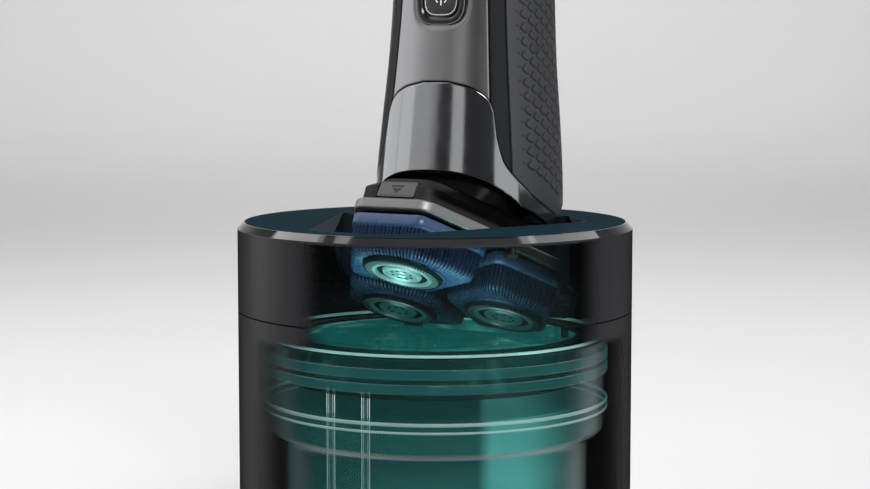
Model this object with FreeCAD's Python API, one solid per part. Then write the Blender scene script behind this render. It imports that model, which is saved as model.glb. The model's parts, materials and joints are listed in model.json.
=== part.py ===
"""Shaver cleaning station with a rotary shaver docked head down in it.

Millimetres, +Z up, origin at the centre of the base on the table, front towards -Y.
The station is a round pod: a lower housing, a lift-off top cover with the dock, and a
fluid cartridge that the cover closes. The shaver stands in the dock, and its shaving
unit is tilted by HEAD_TILT, so the three heads dip into the wash pool at the back.
"""
import FreeCAD, Part

import math
import os

from FreeCAD import Placement, Rotation, Vector

os.makedirs("parts", exist_ok=True)

X_AXIS = Vector(1, 0, 0)
Z_AXIS = Vector(0, 0, 1)

# ---- clearances -------------------------------------------------------------------
RUNNING = 0.3            # between pieces that move past each other
SEAT = 0.3               # under a piece that stands on another
SNUG = 0.1               # between pieces of one body that slip together
PIN_FIT = 0.06           # radial, hinge pin in its hole
REACH = 200.0            # length of cutting tools that run past the object

# ---- pod: housings ----------------------------------------------------------------
POD_R = 55.0             # outer radius of both housings
DECK_Z = 108.0           # height of the deck
PARTING_DROP = 24.5      # groove between cover and lower housing, below the deck
PARTING_GAP = 0.4
HOUSING_WALL = 2.2
HOUSING_FLOOR = 2.2
FOOT_H = 1.2
FOOT_R = 6.0
FOOT_IN = 13.0           # middle of a foot, inside the pod's surface
FOOT_COUNT = 4
PLATE_T = 2.2            # base plate
EDGE_ROUND = 1.0         # lower edge of the pod
LIP_T = 0.9              # locating lip of the lower housing
LIP_H = 1.8
RIM_CHAMFER_H = 1.8      # bright chamfer round the deck
RIM_CHAMFER_W = 1.7
RIM_LAND = 0.3
LEDGE_W = 2.3            # ledge that carries the deck panel
LEDGE_T = 2.0
DECK_T = 2.2
SCREW_R = 1.5
SCREW_HEAD_R = 2.8
SCREW_HEAD_H = 1.3
SCREW_IN = 6.4           # middle of a screw, inside the pod's surface
SCREW_BOSS_R = 3.0
SCREW_BOSS_H = 6.0
SCREW_BITE = 5.0         # length of thread in its boss
SCREW_COUNT = 4

# ---- dock in the deck --------------------------------------------------------------
DOCK_FRONT_Y = -45.3     # blunt front edge of the recess in the deck
DOCK_FRONT_HALF = 12.8
DOCK_SIDE_HALF = 40.2
DOCK_SIDE_Y = 17.4
DOCK_BACK_Y = 38.5
DOCK_BACK_HALF = 19.0
DOCK_CORNER_R = 8.0
DOCK_DROP = 2.6          # fall of the sloped facet from the deck to the hole
DOCK_WALL = 1.4
DOCK_FLANGE_W = 2.0
DOCK_FLANGE_T = 1.2
DOCK_EDGE_LAND = 0.8     # flat rim between the deck's opening and the facet
DOCK_FACET_W = 4.5
DOCK_GAP = 1.1           # between the shaving unit and the hole, all round
DOCK_FRONT_ROOM = 5.0    # more room in front, where the heads flex outwards
DOCK_THROAT_MIN = 3.0    # least height of the throat's wall, at the front
DOCK_DEPTH = 4.0         # how far the throat runs on below the bezel's underside
REST_L = 9.0             # length of a rest along the shaving unit
REST_H = 4.0
REST_IN = 1.0            # how far a rest reaches under the bezel

# ---- wash chamber ------------------------------------------------------------------
GUARD_WALL_IN = 10.6     # splash guard's wall, inside the pod's surface
GUARD_WALL_T = 1.4
GUARD_FLANGE_IN = 5.2
GUARD_FLANGE_T = 1.6
GUARD_FOOT_W = 1.8
GUARD_FOOT_T = 1.2
SEAL_T = 1.4
COVER_SCREW_ANGLES = (-35.0, -145.0, 70.0, 110.0)
COVER_SCREW_IN = 8.0
COVER_SCREW_R = 1.1
COVER_SCREW_HEAD_R = 2.0
COVER_SCREW_HEAD_H = 1.1
COVER_SCREW_ROOF = 0.8   # deck left over each screw
COVER_BOSS_WALL = 1.3

# ---- cover release -----------------------------------------------------------------
RELEASE_W = 20.0
RELEASE_H = 9.0
RELEASE_DROP = 13.0      # below the deck
RELEASE_SINK = 0.2       # pad's face, behind the pod's surface
RELEASE_CORNER_R = 3.0
RELEASE_FLANGE_T = 1.5
RELEASE_FLANGE_W = 1.6
LATCH_W = 8.0
LATCH_T = 1.4
LATCH_DROP = 4.9         # lower end of the latch arm, below the parting line
LATCH_NOSE_H = 2.0
KEEPER_W = 12.0
KEEPER_T = 2.4
KEEPER_H = 4.6
KEEPER_WINDOW_W = 9.0
KEEPER_WINDOW_H = 2.6

# ---- cartridge ---------------------------------------------------------------------
CART_TOP_DROP = 6.6      # cartridge rim, below the parting line
CART_IN = 12.0           # body, inside the pod's surface
COLLAR_IN = 7.4          # wider collar above the body
COLLAR_DROP = 26.4       # lower edge of the collar, below the rim
COLLAR_SLOPE = 2.5
CART_WALL = 1.6
CART_FLOOR = 1.8
RIB_PROUD = 0.8
# Ribs round the collar: upper and lower edge, below the rim.
RIB_DROPS = ((3.8, 6.4), (7.8, 10.3), (17.8, 18.7), (20.1, 20.7))
TRAY_IN = 13.6           # outside of the bowl that holds the wash pool
TRAY_WALL = 1.4
TRAY_RIM_T = 1.3
TRAY_DEPTH = 11.5        # floor of the bowl, below the rim
TRAY_FLOOR_T = 1.4
POOL_DROP = 1.5          # fluid level under the heads, below the rim
POOL_CLEAR = 2.0         # free space between the heads and the pool's hollow
SUMP_R = 11.0            # drain hole in the middle of the bowl
FILTER_R = 13.5
FILTER_T = 1.0
FLUID_DROP = 18.9        # fluid level in the cartridge body, below the rim
TUBE_R = 1.1
TUBE_BORE_R = 0.6
TUBE_IN = 18.0
FEED_TUBE_ANGLE = -90.0
RETURN_TUBE_ANGLE = -109.6
TUBE_FOOT_GAP = 4.0      # from the tubes' ends to the cartridge floor
TUBE_TOP_RISE = 5.0      # of the tubes above the bowl's floor
CRADLE_T = 1.5
CRADLE_H = 8.0
CRADLE_SLOT_W = 14.0

# ---- shaving unit (own frame: x across, y to the front, depth h behind the heads) -----
HEAD_TILT = 27.5         # of the shaving unit from level, front side up
HEAD_Y = -0.33           # centre of the head plane
HEAD_DROP = 22.6         # centre of the head plane, below the deck
HEAD_PITCH_R = 19.9      # unit centre to head centre
UNIT_EDGE = 34.6         # unit centre to each blunt edge
UNIT_EDGE_HALF = 11.0
UNIT_CORNER_R = 5.0
BEZEL_H = 13.2           # depth of the bezel's face towards the heads
BEZEL_T = 3.3
BEZEL_W = 2.2
HOLDER_T = 3.0
BASE_SIDE_H = 4.0        # straight side of the unit base above the bezel
BASE_TAPER_H = 5.0
BASE_TAPER_IN = 6.0
BASE_INSET = 1.5

SKIRT_FACE_H = 0.8       # depth of the skirt's face
SKIRT_BEVEL_H = 6.0
SKIRT_BACK_H = 11.9
SKIRT_FACE_IN = 2.4      # inset of the face from the unit's outline
SKIRT_BACK_IN = 0.5      # inset above the bevel, along the unit's edges
SKIRT_GAP_IN = 1.6       # the same towards the other heads
SKIRT_CORNER_R = 3.0
# Insets of each skirt above its bevel, edge by edge from the unit's centre round. Edges
# that pass a dock rest when the shaver is lifted stay as far in as those between the heads.
SKIRT_INSETS = {
    "front": (SKIRT_GAP_IN, SKIRT_BACK_IN, SKIRT_BACK_IN, SKIRT_BACK_IN, SKIRT_GAP_IN),
    "left": (SKIRT_GAP_IN, SKIRT_BACK_IN, SKIRT_GAP_IN, SKIRT_GAP_IN, SKIRT_GAP_IN),
    "right": (SKIRT_GAP_IN, SKIRT_GAP_IN, SKIRT_GAP_IN, SKIRT_BACK_IN, SKIRT_GAP_IN),
}
GUARD_R = 11.2
GUARD_DEPTH = 4.0
GUARD_T = 0.5
GUARD_TRACK_IN = 5.0     # slotted track of the steel guard, inner and outer radius
GUARD_TRACK_OUT = 10.4
GUARD_CROWN = 0.7
GUARD_TRACK_DIP = 0.5    # middle of the guard, behind its track
GUARD_SHOULDER = 1.0
CUTTER_TIP_R = 9.8
CUTTER_ROOT_R = 5.8
CUTTER_BLADE_H = 2.0
CUTTER_WEB_T = 1.4
CUTTER_HUB_R = 3.7
CUTTER_SOCKET_R = 2.6
CUTTER_HUB_H = 4.2
CUTTER_SOCKET_GAP = 0.5
CUTTER_SLOTS = 12
CUTTER_SLOT_W = 1.2
CARRIER_R = 10.0
CARRIER_COLLAR_R = 9.4
CARRIER_BORE_R = 7.4
CARRIER_FACE_H = 5.6
HOLDER_HOLE_R = 10.3
FLEX_H = 14.7            # depth of the heads' pivot pins
FLEX_PIN_R = 0.8
FLEX_PIN_REACH = 12.6
FLEX_PIN_END_GAP = 0.3

PINION_TEETH = 32
GEAR_TEETH = 28
GEAR_H = 17.3            # depth of the gears' faces
GEAR_T = 2.3
TOOTH_ADDENDUM = 0.75    # of the module
TOOTH_DEDENDUM = 1.15
TOOTH_SHARE = 0.38       # tooth thickness at the pitch circle, of the pitch
TOOTH_FLANK = 0.12       # share of the pitch by which a tooth thins, per module
GEAR_PLAY = 0.4          # round and behind the gears in their chamber
SPINDLE_R = 1.7
SPINDLE_TIP_H = 5.8
STUB_R = 0.9             # bearing stub behind each gear
STUB_L = 1.6
SHAFT_R = 1.2
SHAFT_BITE = 6.0         # length of the shaft inside the motor

UNIT_BUTTON_W = 11.5
UNIT_BUTTON_H = 4.8
UNIT_BUTTON_T = 1.2
UNIT_BUTTON_FACE = 33.5  # unit centre to the button's face
UNIT_BUTTON_SLOPE = 1.0  # how far the face leans back over its height
UNIT_BUTTON_GAP = 0.3    # over the bezel, besides its seat
UNIT_BUTTON_TRAVEL = 0.9

# ---- handle ---------------------------------------------------------------------------
# Sections of the outer skin: height above the deck, centre y, half width, half depth.
HANDLE_SECTIONS = (
    (-8.0, 19.4, 26.4, 22.4),
    (10.0, 19.8, 26.3, 22.2),
    (26.0, 20.6, 25.2, 21.3),
    (44.0, 21.5, 23.6, 20.2),
    (62.0, 22.3, 22.7, 19.3),
    (92.0, 23.0, 22.2, 19.0),
    (120.0, 23.4, 22.7, 19.4),
    (135.0, 23.6, 22.6, 19.3),
)
SECTION_POINTS = 24
HANDLE_POWER = 2.5       # superellipse exponent of the sections
HANDLE_AXIS_Y = 22.0
NECK_L = 6.5             # the handle's core ends parallel to the shaving unit
SKIN_LIP = 5.0           # how far the skin hangs below its core
CHIN_Y = -2.1            # in front the skin's lower end rises more steeply
CHIN_LIFT = 13.7         # height of its front edge above the deck
CHIN_FALL = 46.4         # degrees
HANDLE_HEEL_Y = 26.0     # behind this line the lower end rises again
HANDLE_HEEL_LIFT = 0.9   # height of that line above the deck
HANDLE_HEEL_RISE = 27.0  # degrees
SKIN_T = 2.0
CORE_T = 1.9
FRONT_HALF_ANGLE = 40.0  # front panel, each side of the front
STRIP_HALF_ANGLE = 52.0  # outer edge of the side strips
# Seam above the glossy neck panel, seen from the side: y, height above the deck.
NECK_SEAM = (
    (-4.0, 39.2), (0.75, 38.7), (1.7, 36.5), (2.6, 33.8), (3.0, 30.0), (3.1, 24.6),
    (3.25, 20.0), (3.65, 16.6), (5.0, 13.5), (7.3, 10.5), (13.1, 5.5), (22.7, 0.6),
    (28.0, -2.5),
)
CAP_T = 4.0
CAP_CHAMFER = 2.0
CAP_SPIGOT_H = 4.0
RIB_T = 2.0              # cross ribs that hold battery and circuit board
RIB_RISES = (46.0, 103.0)
BATTERY_R = 9.1
BATTERY_RISE = 43.0      # above the deck
BATTERY_L = 65.0
BATTERY_Y = 25.0
BOARD_W = 22.0
BOARD_T = 1.4
BOARD_Y = 12.2
BOARD_RISE = 41.0
BOARD_L = 70.0
SOCKET_W = 9.0
SOCKET_D = 6.0
SOCKET_H = 7.5
SOCKET_SINK = 0.5
SOCKET_PIN_HALF = 1.8
SOCKET_PIN_R = 0.9
SOCKET_PIN_DEPTH = 5.0
MOTOR_R = 9.4
MOTOR_L = 22.0
NECK_HALF_W = 19.0       # black neck between unit base and handle
NECK_TOP_HALF_W = 21.5
NECK_HALF_D = 15.0
NECK_TOP_HALF_D = 13.0
NECK_Y = 1.5
NECK_TOP_Y = 1.8

POWER_RISE = 62.0        # middle of the power button, above the deck
POWER_LEAN = 4.5         # degrees, of the front panel there
POWER_RING_W = 15.6      # across the dark ring round the power button
POWER_RING_R = 6.4
POWER_BUTTON_W = 11.0
POWER_BUTTON_R = 4.3
POWER_FACE_Y = 3.3       # face of the button
POWER_BUTTON_T = 3.2
POWER_TRAVEL = 0.8
POWER_RING_PROUD = 0.4
POWER_RING_T = 1.7


# ---- helpers: faces and solids --------------------------------------------------------
def cylinder(radius, z0, z1, x=0.0, y=0.0):
    return Part.makeCylinder(radius, z1 - z0, Vector(x, y, z0), Z_AXIS)


def ring(r_out, r_in, z0, z1):
    return cylinder(r_out, z0, z1).cut(cylinder(r_in, z0 - 1, z1 + 1))


def box(x0, x1, y0, y1, z0, z1):
    return Part.makeBox(x1 - x0, y1 - y0, z1 - z0, Vector(x0, y0, z0))


def lathe(profile):
    """Solid of revolution about Z from a closed list of (radius, z) points."""
    points = [Vector(r, 0, z) for r, z in profile]
    face = Part.Face(Part.makePolygon(points + points[:1]))
    return face.revolve(Vector(), Z_AXIS, 360)


def polar(radius, angle):
    rad = math.radians(angle)
    return radius * math.cos(rad), radius * math.sin(rad)


def mirrored(corners):
    """Closed outline from its +X half, listed from front to back."""
    return [(x, y) for x, y in corners] + [(-x, y) for x, y in reversed(corners)]


def rounded_face(corners, radius):
    """Flat face at z=0 through the corners, each rounded to the radius."""
    count = len(corners)
    rounds = []
    for i in range(count):
        here = Vector(corners[i][0], corners[i][1], 0)
        before = Vector(corners[i - 1][0], corners[i - 1][1], 0).sub(here).normalize()
        after = Vector(corners[(i + 1) % count][0], corners[(i + 1) % count][1], 0)
        after = after.sub(here).normalize()
        half = before.getAngle(after) / 2
        middle = before.add(after).normalize()
        centre = here + middle * (radius / math.sin(half))
        start = here + before * (radius / math.tan(half))
        end = here + after * (radius / math.tan(half))
        rounds.append((start, centre - middle * radius, end))
    edges = []
    for i in range(count):
        start, crown, end = rounds[i]
        edges.append(Part.Arc(start, crown, end).toShape())
        edges.append(Part.LineSegment(end, rounds[(i + 1) % count][0]).toShape())
    return Part.Face(Part.Wire(edges))


def inset(face, distance):
    """The face made smaller by the distance, or larger where it is negative."""
    return face.makeOffset2D(-distance, join=2) if distance else face


def prism(face, z0, z1):
    solid = face.extrude(Vector(0, 0, z1 - z0))
    solid.translate(Vector(0, 0, z0))
    return solid


def tapered(face0, z0, face1, z1):
    """Straight-sided solid between two flat faces with the same number of edges."""
    lower = face0.OuterWire.copy()
    upper = face1.OuterWire.copy()
    lower.translate(Vector(0, 0, z0))
    upper.translate(Vector(0, 0, z1))
    return Part.makeLoft([lower, upper], True, True)


def facing_front(shape):
    """Turns a solid drawn flat, with its outline in XY, so that +Z looks to -Y."""
    shape.rotate(Vector(), X_AXIS, 90)
    return shape


def wedge(half_angle, z0, z1, y):
    """Sector that opens to the front, half_angle each side, from an axis at (0, y)."""
    x, depth = polar(REACH, half_angle - 90)
    corners = [Vector(0, y, z0), Vector(x, y + depth, z0), Vector(-x, y + depth, z0)]
    return Part.Face(Part.makePolygon(corners + corners[:1])).extrude(Vector(0, 0, z1 - z0))


def fuse(shapes):
    return shapes[0].fuse(shapes[1:]).removeSplitter() if len(shapes) > 1 else shapes[0]


def cut(shape, tools):
    return shape.cut(tools) if tools else shape


def save(node, shape):
    shape.exportStep("parts/" + node + ".step")


# ---- station: levels and radii that follow from the dimensions --------------------------
PARTING_Z = DECK_Z - PARTING_DROP
FOOT_PITCH_R = POD_R - FOOT_IN
SCREW_PITCH_R = POD_R - SCREW_IN
GUARD_WALL_R = POD_R - GUARD_WALL_IN
GUARD_FLANGE_R = POD_R - GUARD_FLANGE_IN
COVER_SCREW_PITCH_R = POD_R - COVER_SCREW_IN
CART_R = POD_R - CART_IN
COLLAR_R = POD_R - COLLAR_IN
TRAY_R = POD_R - TRAY_IN
TUBE_PITCH_R = POD_R - TUBE_IN
PLATE_TOP = FOOT_H + PLATE_T
FLOOR_Z0 = PLATE_TOP + SNUG
FLOOR_Z1 = FLOOR_Z0 + HOUSING_FLOOR
LOWER_TOP = PARTING_Z - PARTING_GAP / 2
UPPER_BOTTOM = PARTING_Z + PARTING_GAP / 2
BORE_R = POD_R - HOUSING_WALL
LIP_R = BORE_R + LIP_T
DECK_R = POD_R - RIM_CHAMFER_W - RIM_LAND - SNUG
DECK_UNDER = DECK_Z - DECK_T
GUARD_TOP = DECK_UNDER - DOCK_FLANGE_T
CART_TOP = PARTING_Z - CART_TOP_DROP
CART_BOTTOM = FLOOR_Z1 + SEAT
RIM_UNDER = CART_TOP - TRAY_RIM_T
COLLAR_Z = CART_TOP - COLLAR_DROP
TRAY_TOP = CART_TOP - TRAY_DEPTH
TRAY_UNDER = TRAY_TOP - TRAY_FLOOR_T
TRAY_BORE_R = TRAY_R - TRAY_WALL
GUARD_Z0 = CART_TOP + SEAT + SEAL_T
GUARD_BORE_R = GUARD_WALL_R - GUARD_WALL_T
RELEASE_Z = DECK_Z - RELEASE_DROP
RELEASE_FLANGE_Y = math.sqrt(BORE_R**2 - (RELEASE_W / 2 + RELEASE_FLANGE_W) ** 2) - SEAT
LATCH_Z = PARTING_Z - LATCH_DROP
KEEPER_Y = BORE_R - KEEPER_T

# ---- shaving unit: the frame it is drawn in ----------------------------------------------
HEAD_Z = DECK_Z - HEAD_DROP
TILT_SIN = math.sin(math.radians(HEAD_TILT))
TILT_COS = math.cos(math.radians(HEAD_TILT))
UNIT_PLACE = Placement(Vector(0, HEAD_Y, HEAD_Z), Rotation(X_AXIS, 180 - HEAD_TILT))
BEZEL_BACK_H = BEZEL_H + BEZEL_T
BASE_SIDE_END_H = BEZEL_BACK_H + BASE_SIDE_H
BASE_BACK_H = BASE_SIDE_END_H + BASE_TAPER_H
HANDLE_BASE_H = BASE_BACK_H + NECK_L
HEAD_TURNS = {"front": 0.0, "left": 120.0, "right": -120.0}


def tilted(shape):
    """Moves a shape from the shaving unit's frame (+Z out of the heads) to its place."""
    shape.Placement = UNIT_PLACE.multiply(shape.Placement)
    return shape


def slab(face, h0, h1):
    """Prism in the unit's frame between two depths behind the head plane."""
    return prism(face, -h1, -h0)


def seen_from_above(x, y, h):
    """X and Y in the station of a point of the shaving unit."""
    return x, HEAD_Y - TILT_COS * y + TILT_SIN * h


def nearer_than(h):
    """Everything on the heads' side of the plane at depth h, in the station's frame."""
    return tilted(box(-REACH, REACH, -REACH, REACH, -h, REACH))


def turned(x, y, angle):
    rad = math.radians(angle)
    return x * math.cos(rad) - y * math.sin(rad), x * math.sin(rad) + y * math.cos(rad)


def unit_corners():
    """Six corners of the shaving unit: three blunt edges and three long ones."""
    corners = []
    for angle in (0, 120, 240):
        corners.append(turned(UNIT_EDGE_HALF, UNIT_EDGE, angle))
        corners.append(turned(-UNIT_EDGE_HALF, UNIT_EDGE, angle))
    return corners


def unit_outline(distance):
    return inset(rounded_face(unit_corners(), UNIT_CORNER_R + distance), distance)


# ---- station: dock outlines ----------------------------------------------------------------
def dock_outline():
    """Edge of the recess in the deck, a triangle with its blunt corner in front."""
    return rounded_face(mirrored([
        (DOCK_FRONT_HALF, DOCK_FRONT_Y),
        (DOCK_SIDE_HALF, DOCK_SIDE_Y),
        (DOCK_BACK_HALF, DOCK_BACK_Y),
    ]), DOCK_CORNER_R)


def dock_hole():
    """Hole that the whole shaving unit passes when the shaver is lifted straight up."""
    side_x, side_y = turned(-UNIT_EDGE_HALF, UNIT_EDGE, -120)
    back_x, back_y = turned(UNIT_EDGE_HALF, UNIT_EDGE, -120)
    shrink = 1 - SKIRT_BACK_IN / math.hypot(side_x, side_y)
    front = seen_from_above(UNIT_EDGE_HALF, UNIT_EDGE - SKIRT_FACE_IN, SKIRT_FACE_H)
    face = rounded_face(mirrored([
        (front[0], front[1] - DOCK_FRONT_ROOM),
        seen_from_above(side_x * shrink, side_y * shrink, SKIRT_BEVEL_H),
        seen_from_above(side_x, side_y, BEZEL_BACK_H),
        seen_from_above(back_x, back_y + BASE_INSET, BASE_SIDE_END_H),
    ]), UNIT_CORNER_R)
    return inset(face, -DOCK_GAP)


# ---- base --------------------------------------------------------------------------------
def spots(radius, count, first):
    return [polar(radius, first + i * 360.0 / count) for i in range(count)]


def screw_spots():
    return spots(SCREW_PITCH_R, SCREW_COUNT, 0.0)


def lower_housing():
    shell = lathe([
        (0, FLOOR_Z0), (BORE_R, FLOOR_Z0), (BORE_R, FOOT_H),
        (POD_R - EDGE_ROUND, FOOT_H), (POD_R, FOOT_H + EDGE_ROUND),
        (POD_R, LOWER_TOP), (LIP_R, LOWER_TOP), (LIP_R, LOWER_TOP + LIP_H),
        (BORE_R, LOWER_TOP + LIP_H), (BORE_R, FLOOR_Z1), (0, FLOOR_Z1),
    ])
    boss_top = FLOOR_Z1 + SCREW_BOSS_H
    bosses = [cylinder(SCREW_BOSS_R, FLOOR_Z1, boss_top, x, y) for x, y in screw_spots()]
    hole_top = FLOOR_Z1 + SCREW_BITE + SEAT
    holes = [cylinder(SCREW_R + SNUG, FLOOR_Z0, hole_top, x, y) for x, y in screw_spots()]
    return cut(fuse([shell] + bosses), holes)


def base_plate():
    plate = cylinder(BORE_R - SNUG, FOOT_H, PLATE_TOP)
    holes = []
    for x, y in screw_spots():
        holes.append(cylinder(SCREW_R + SNUG, FOOT_H, PLATE_TOP, x, y))
        holes.append(cylinder(SCREW_HEAD_R + SNUG, FOOT_H, FOOT_H + SCREW_HEAD_H, x, y))
    return cut(plate, holes)


def base_screws():
    screws = []
    for x, y in screw_spots():
        head = cylinder(SCREW_HEAD_R, FOOT_H + SNUG, FOOT_H + SCREW_HEAD_H, x, y)
        shank = cylinder(SCREW_R, FOOT_H + SNUG, FLOOR_Z1 + SCREW_BITE, x, y)
        screws.append(head.fuse(shank))
    return Part.makeCompound(screws)


def rubber_feet():
    first = 180.0 / FOOT_COUNT
    feet = [cylinder(FOOT_R, 0, FOOT_H, x, y) for x, y in spots(FOOT_PITCH_R, FOOT_COUNT, first)]
    return Part.makeCompound(feet)


def cartridge_cradle():
    inner = CART_R + RUNNING
    wall = ring(inner + CRADLE_T, inner, FLOOR_Z1, FLOOR_Z1 + CRADLE_H)
    slot_z = FLOOR_Z1 + CRADLE_H / 3
    half = CRADLE_SLOT_W / 2
    slots = [
        box(-half, half, -POD_R, POD_R, slot_z, PARTING_Z),
        box(-POD_R, POD_R, -half, half, slot_z, PARTING_Z),
    ]
    return cut(wall, slots)


def latch_keeper():
    z0 = LATCH_Z - (KEEPER_H - LATCH_NOSE_H) / 2
    block = box(-KEEPER_W / 2, KEEPER_W / 2, KEEPER_Y, POD_R, z0, z0 + KEEPER_H)
    half = KEEPER_WINDOW_W / 2
    z_window = z0 + (KEEPER_H - KEEPER_WINDOW_H) / 2
    window = box(-half, half, 0, POD_R, z_window, z_window + KEEPER_WINDOW_H)
    return block.common(cylinder(BORE_R, 0, DECK_Z)).cut(window)


# ---- top cover -----------------------------------------------------------------------------
def release_prism(grow, y0, y1):
    """Rounded bar along Y round the release button's middle, grown on every side."""
    half_w = RELEASE_W / 2 + grow
    half_h = RELEASE_H / 2 + grow
    corners = [(half_w, -half_h), (half_w, half_h), (-half_w, half_h), (-half_w, -half_h)]
    bar = facing_front(prism(rounded_face(corners, RELEASE_CORNER_R + grow), -y1, -y0))
    bar.translate(Vector(0, 0, RELEASE_Z))
    return bar


def upper_housing():
    rabbet_r = LIP_R + RUNNING
    rabbet_z = LOWER_TOP + LIP_H + RUNNING
    ledge_r = BORE_R - LEDGE_W
    ledge_z = DECK_UNDER - LEDGE_T
    shell = lathe([
        (rabbet_r, UPPER_BOTTOM), (POD_R, UPPER_BOTTOM),
        (POD_R, DECK_Z - RIM_CHAMFER_H), (POD_R - RIM_CHAMFER_W, DECK_Z),
        (DECK_R + SNUG, DECK_Z), (DECK_R + SNUG, DECK_UNDER), (ledge_r, DECK_UNDER),
        (ledge_r, ledge_z), (BORE_R, ledge_z - LEDGE_W), (BORE_R, rabbet_z),
        (rabbet_r, rabbet_z),
    ])
    return shell.cut(release_prism(RUNNING, KEEPER_Y, POD_R + REACH))


def cover_screw_spots():
    return [polar(COVER_SCREW_PITCH_R, angle) for angle in COVER_SCREW_ANGLES]


def deck_panel():
    panel = cylinder(DECK_R, DECK_UNDER, DECK_Z)
    panel = panel.cut(prism(inset(dock_outline(), -SNUG), DECK_UNDER - 1, DECK_Z + 1))
    boss_r = COVER_SCREW_R + COVER_BOSS_WALL
    bosses = [cylinder(boss_r, GUARD_TOP, DECK_UNDER, x, y) for x, y in cover_screw_spots()]
    hole_r = COVER_SCREW_R + SNUG
    holes = [
        cylinder(hole_r, GUARD_TOP, DECK_Z - COVER_SCREW_ROOF, x, y)
        for x, y in cover_screw_spots()
    ]
    return cut(fuse([panel] + bosses), holes)


def dock_funnel():
    """Sloped recess and throat, with a flange under the deck panel."""
    outline = dock_outline()
    hole = dock_hole()
    drop_z = DECK_Z - DOCK_DROP
    flange = prism(inset(outline, -DOCK_FLANGE_W), GUARD_TOP, DECK_UNDER)
    body = prism(outline, GUARD_TOP, DECK_Z)
    throat = prism(inset(hole, -DOCK_WALL), CART_TOP, DECK_UNDER)
    low = nearer_than(BEZEL_H - DOCK_DEPTH)
    low = low.common(box(-REACH, REACH, -REACH, REACH, 0, drop_z - DOCK_THROAT_MIN))
    slope = tapered(inset(outline, DOCK_EDGE_LAND), DECK_Z, facet_foot(), drop_z)
    solid = fuse([flange, body, throat.cut(low)])
    return solid.cut(slope).cut(prism(hole, CART_TOP, DECK_Z + 1))


def facet_foot():
    """Lower edge of the sloped facet, inside the hole so that the slope runs into it."""
    shrink = DOCK_FACET_W
    return rounded_face(mirrored([
        (DOCK_FRONT_HALF - shrink, DOCK_FRONT_Y + 2 * shrink),
        (DOCK_SIDE_HALF - shrink, DOCK_SIDE_Y),
        (DOCK_BACK_HALF - shrink, DOCK_BACK_Y - shrink),
    ]), DOCK_CORNER_R - DOCK_EDGE_LAND)


def dock_rests():
    """Three blocks on the throat's wall; the bezel stands on them by its rim."""
    around = unit_outline(-DOCK_WALL - DOCK_GAP).cut(unit_outline(REST_IN))
    top_h = BEZEL_H - SEAT
    windows = []
    for angle, length in ((120, REST_L), (240, REST_L), (180, 2 * REST_L)):
        window = box(-length / 2, length / 2, 0, REACH, -REACH, REACH)
        window.rotate(Vector(), Z_AXIS, angle)
        windows.append(window)
    blocks = prism(around, -top_h, REST_H - top_h).common(fuse(windows))
    return tilted(blocks).common(prism(dock_hole(), 0, DECK_Z))


def splash_guard():
    wall = lathe([
        (GUARD_BORE_R, GUARD_Z0), (GUARD_WALL_R + GUARD_FOOT_W, GUARD_Z0),
        (GUARD_WALL_R + GUARD_FOOT_W, GUARD_Z0 + GUARD_FOOT_T),
        (GUARD_WALL_R, GUARD_Z0 + GUARD_FOOT_T), (GUARD_WALL_R, GUARD_TOP - GUARD_FLANGE_T),
        (GUARD_FLANGE_R, GUARD_TOP - GUARD_FLANGE_T), (GUARD_FLANGE_R, GUARD_TOP),
        (GUARD_BORE_R, GUARD_TOP),
    ])
    hole_r = COVER_SCREW_R + SNUG
    return cut(wall, [cylinder(hole_r, 0, DECK_Z, x, y) for x, y in cover_screw_spots()])


def cover_seal():
    return ring(GUARD_WALL_R + GUARD_FOOT_W, GUARD_BORE_R + SNUG, GUARD_Z0 - SEAL_T, GUARD_Z0)


def cover_screws():
    under = GUARD_TOP - GUARD_FLANGE_T
    top = DECK_Z - COVER_SCREW_ROOF - SNUG
    screws = []
    for x, y in cover_screw_spots():
        head = cylinder(COVER_SCREW_HEAD_R, under - COVER_SCREW_HEAD_H, under, x, y)
        screws.append(head.fuse(cylinder(COVER_SCREW_R, under - SNUG, top, x, y)))
    return Part.makeCompound(screws)


def cover_release_button():
    """Push pad in the back wall with its flange and the latch arm behind it."""
    pad = release_prism(0, RELEASE_FLANGE_Y, POD_R + REACH)
    pad = pad.common(cylinder(POD_R - RELEASE_SINK, 0, DECK_Z))
    flange_in = RELEASE_FLANGE_Y - RELEASE_FLANGE_T
    flange = release_prism(RELEASE_FLANGE_W, flange_in, RELEASE_FLANGE_Y)
    half = LATCH_W / 2
    arm = box(-half, half, flange_in - LATCH_T, flange_in, LATCH_Z, RELEASE_Z)
    nose_y = KEEPER_Y - RUNNING
    nose = box(-half, half, flange_in, nose_y, LATCH_Z, LATCH_Z + LATCH_NOSE_H)
    return fuse([pad, flange, arm, nose])


# ---- cartridge -----------------------------------------------------------------------------
def cup_bore(gap):
    """Inside of the cartridge cup as (radius, z) points, moved in by the gap."""
    bore = CART_R - CART_WALL - gap
    collar = COLLAR_R - CART_WALL - gap
    floor = CART_BOTTOM + CART_FLOOR
    return [(0, floor), (bore, floor), (bore, COLLAR_Z - COLLAR_SLOPE), (collar, COLLAR_Z)]


def cartridge_cup():
    profile = [
        (0, CART_BOTTOM), (CART_R - EDGE_ROUND, CART_BOTTOM),
        (CART_R, CART_BOTTOM + EDGE_ROUND), (CART_R, COLLAR_Z - COLLAR_SLOPE),
        (COLLAR_R, COLLAR_Z),
    ]
    for upper, lower in reversed(RIB_DROPS):
        for radius, drop in (
            (COLLAR_R, lower), (COLLAR_R + RIB_PROUD, lower),
            (COLLAR_R + RIB_PROUD, upper), (COLLAR_R, upper),
        ):
            profile.append((radius, CART_TOP - drop))
    profile.append((COLLAR_R, RIM_UNDER))
    profile.append((COLLAR_R - CART_WALL, RIM_UNDER))
    return lathe(profile + cup_bore(0)[::-1])


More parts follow.
